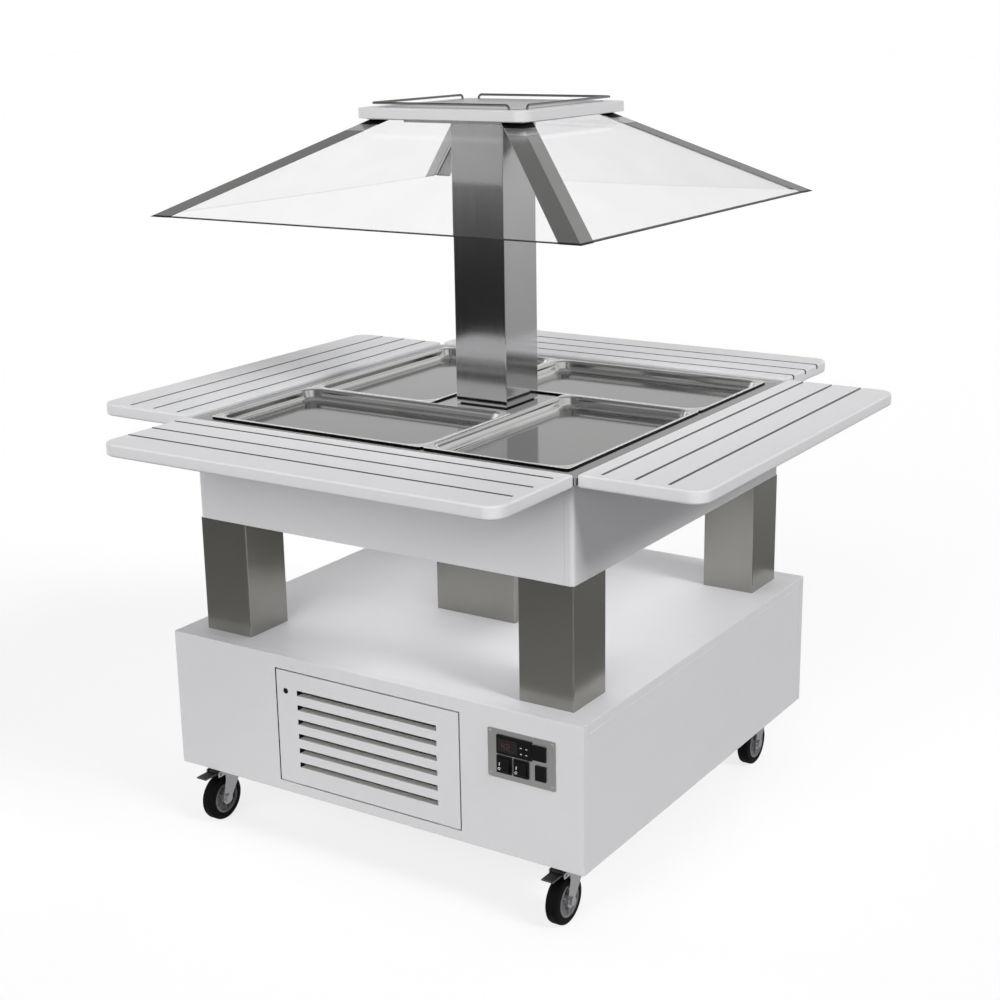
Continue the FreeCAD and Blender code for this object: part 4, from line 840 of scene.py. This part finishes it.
# Metres towards the back right from the case's middle, as far as the room reaches, and the grey there
ROOM = 24.0
ROOM_GREYS = [(-24, 1.0), (-20, 0.8), (-16, 0.22), (-12, 0.07), (-8, 0.035), (-5, 0.03), (-3, 0.17),
              (-1.5, 0.36), (0, 0.48), (1.5, 0.25), (4, 0.46), (8, 0.58), (24, 1.0)]
paper = bpy.data.materials.new("floor_paper")
paper.use_nodes = True
tree = paper.node_tree
tree.nodes.remove(tree.nodes["Principled BSDF"])
eye, image = looked_at(tree)
bounce = put(tree, "BsdfDiffuse", {"Color": grey(0.28)})
pale = put(tree, "BsdfDiffuse", {"Color": grey(0.9)})
white_glow = put(tree, "Emission", {"Color": grey(1), "Strength": 1.1})
shown = either_shader(tree, 0.3, white_glow, pale)
spot = put(tree, "TexCoord").outputs["Object"]
depth = greys(tree, ramp(tree, along(tree, spot, TO_BACK_RIGHT), 0, 1, -ROOM, ROOM), [
    ((metres + ROOM) / (2 * ROOM), tone) for metres, tone in ROOM_GREYS])
# The back left of the room is as white as the eye sees it
aside = ramp(tree, along(tree, spot, TO_BACK_LEFT), 0, 1, 0.8, 1.8)
mirrored = put(tree, "Emission", {"Color": blend(tree, aside, depth, grey(1))})
lit = either_shader(tree, image, bounce, mirrored)
ground = either_shader(tree, eye, lit, shown)
tree.links.new(ground.outputs[0], tree.nodes["Material Output"].inputs["Surface"])
bm = bmesh.new()
bmesh.ops.create_grid(bm, x_segments=1, y_segments=1, size=FLOOR_HALF)
mesh = bpy.data.meshes.new("floor")
bm.to_mesh(mesh)
bm.free()
mesh.materials.append(paper)
floor = bpy.data.objects.new("floor", mesh)
bpy.context.scene.collection.objects.link(floor)

# Greys of the mirrored sky from the horizon, at 0, to overhead, at 1, behind the case and before it
SKY_BEHIND = [(0, 0.95), (0.12, 0.85), (0.22, 0.62), (0.42, 0.5), (0.55, 0.72), (0.7, 0.42), (0.83, 0.25),
              (1, 0.32)]
SKY_BEFORE = [(0, 1.0), (0.26, 1.0), (0.34, 0.3), (0.45, 0.12), (0.75, 0.18), (1, 0.30)]
AMBIENT = 0.12
world = bpy.data.worlds.new("studio")
bpy.context.scene.world = world
world.use_nodes = True
tree = world.node_tree
sky = tree.nodes["Background"]
sky.inputs["Color"].default_value = grey(1)
eye, image = looked_at(tree)
direction = put(tree, "TexCoord").outputs["Generated"]
height = put(tree, "SeparateXYZ", {0: direction}).outputs["Z"]
facing = ramp(tree, along(tree, direction, TO_FRONT_LEFT), 0, 1, 0.15, 0.45)
ceiling = blend(tree, facing, greys(tree, height, SKY_BEHIND), greys(tree, height, SKY_BEFORE))
dim = put(tree, "Mix", {0: image, 2: AMBIENT, 3: ceiling})
either = put(tree, "Mix", {0: eye, 2: dim.outputs[0], 3: 1.0})
tree.links.new(either.outputs[0], sky.inputs["Strength"])


def hang(lamp):
    """Hang a lamp that neither metal nor glass shows."""
    lamp_object = bpy.data.objects.new(lamp.name, lamp)
    lamp_object.visible_glossy = False
    lamp_object.visible_transmission = False
    bpy.context.scene.collection.objects.link(lamp_object)
    return lamp_object


# Where each lamp stands, how strong it is, and how many degrees wide
LAMPS = {"front": ((0.08, -0.92, 0.38), 1.9, 50), "right": ((0.78, -0.1, 0.60), 1.7, 16),
         "back": ((0.1, 0.98, 0.15), 1.35, 50), "left": ((-0.98, 0.1, 0.15), 1.35, 50)}
for side, (towards, energy, spread) in LAMPS.items():
    lamp = bpy.data.lights.new(f"{side}_lamp", "SUN")
    lamp.energy = energy
    lamp.angle = math.radians(spread)
    hung = hang(lamp)
    hung.rotation_mode = "QUATERNION"
    hung.rotation_quaternion = Vector(towards).to_track_quat("Z", "Y")

# A weak flat lamp just under the cabinet keeps the deck as bright as the rest
BELOW = 4 * MM
lamp = bpy.data.lights.new("deck_lamp", "AREA")
lamp.energy = 1.05
lamp.size = 0.8
hung = hang(lamp)
hung.location.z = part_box("cabinet_floor")[0].z - BELOW
hung.visible_camera = False


# Camera: from the front right and a little above, as the case is usually pictured.
# The angles are in radians, and a slight roll levels the picture.

YAW, PITCH, ROLL = 0.5761, 0.2791, -0.0158
STAND = (1.9407, -2.9843, 1.686)
ahead = Vector((-math.sin(YAW) * math.cos(PITCH), math.cos(YAW) * math.cos(PITCH), -math.sin(PITCH)))
level = Vector((math.cos(YAW), math.sin(YAW), 0))
above = level.cross(ahead)
right = level * math.cos(ROLL) + above * math.sin(ROLL)
up = above * math.cos(ROLL) - level * math.sin(ROLL)
turn = Matrix((right, up, -ahead)).transposed().to_4x4()
lens = bpy.data.cameras.new("camera")
lens.lens = 61.66
lens.sensor_width = 36
camera = bpy.data.objects.new("camera", lens)
camera.matrix_world = Matrix.Translation(STAND) @ turn
bpy.context.scene.collection.objects.link(camera)
bpy.context.scene.camera = camera
bpy.context.scene.view_settings.view_transform = "Standard"

bpy.context.view_layer.update()
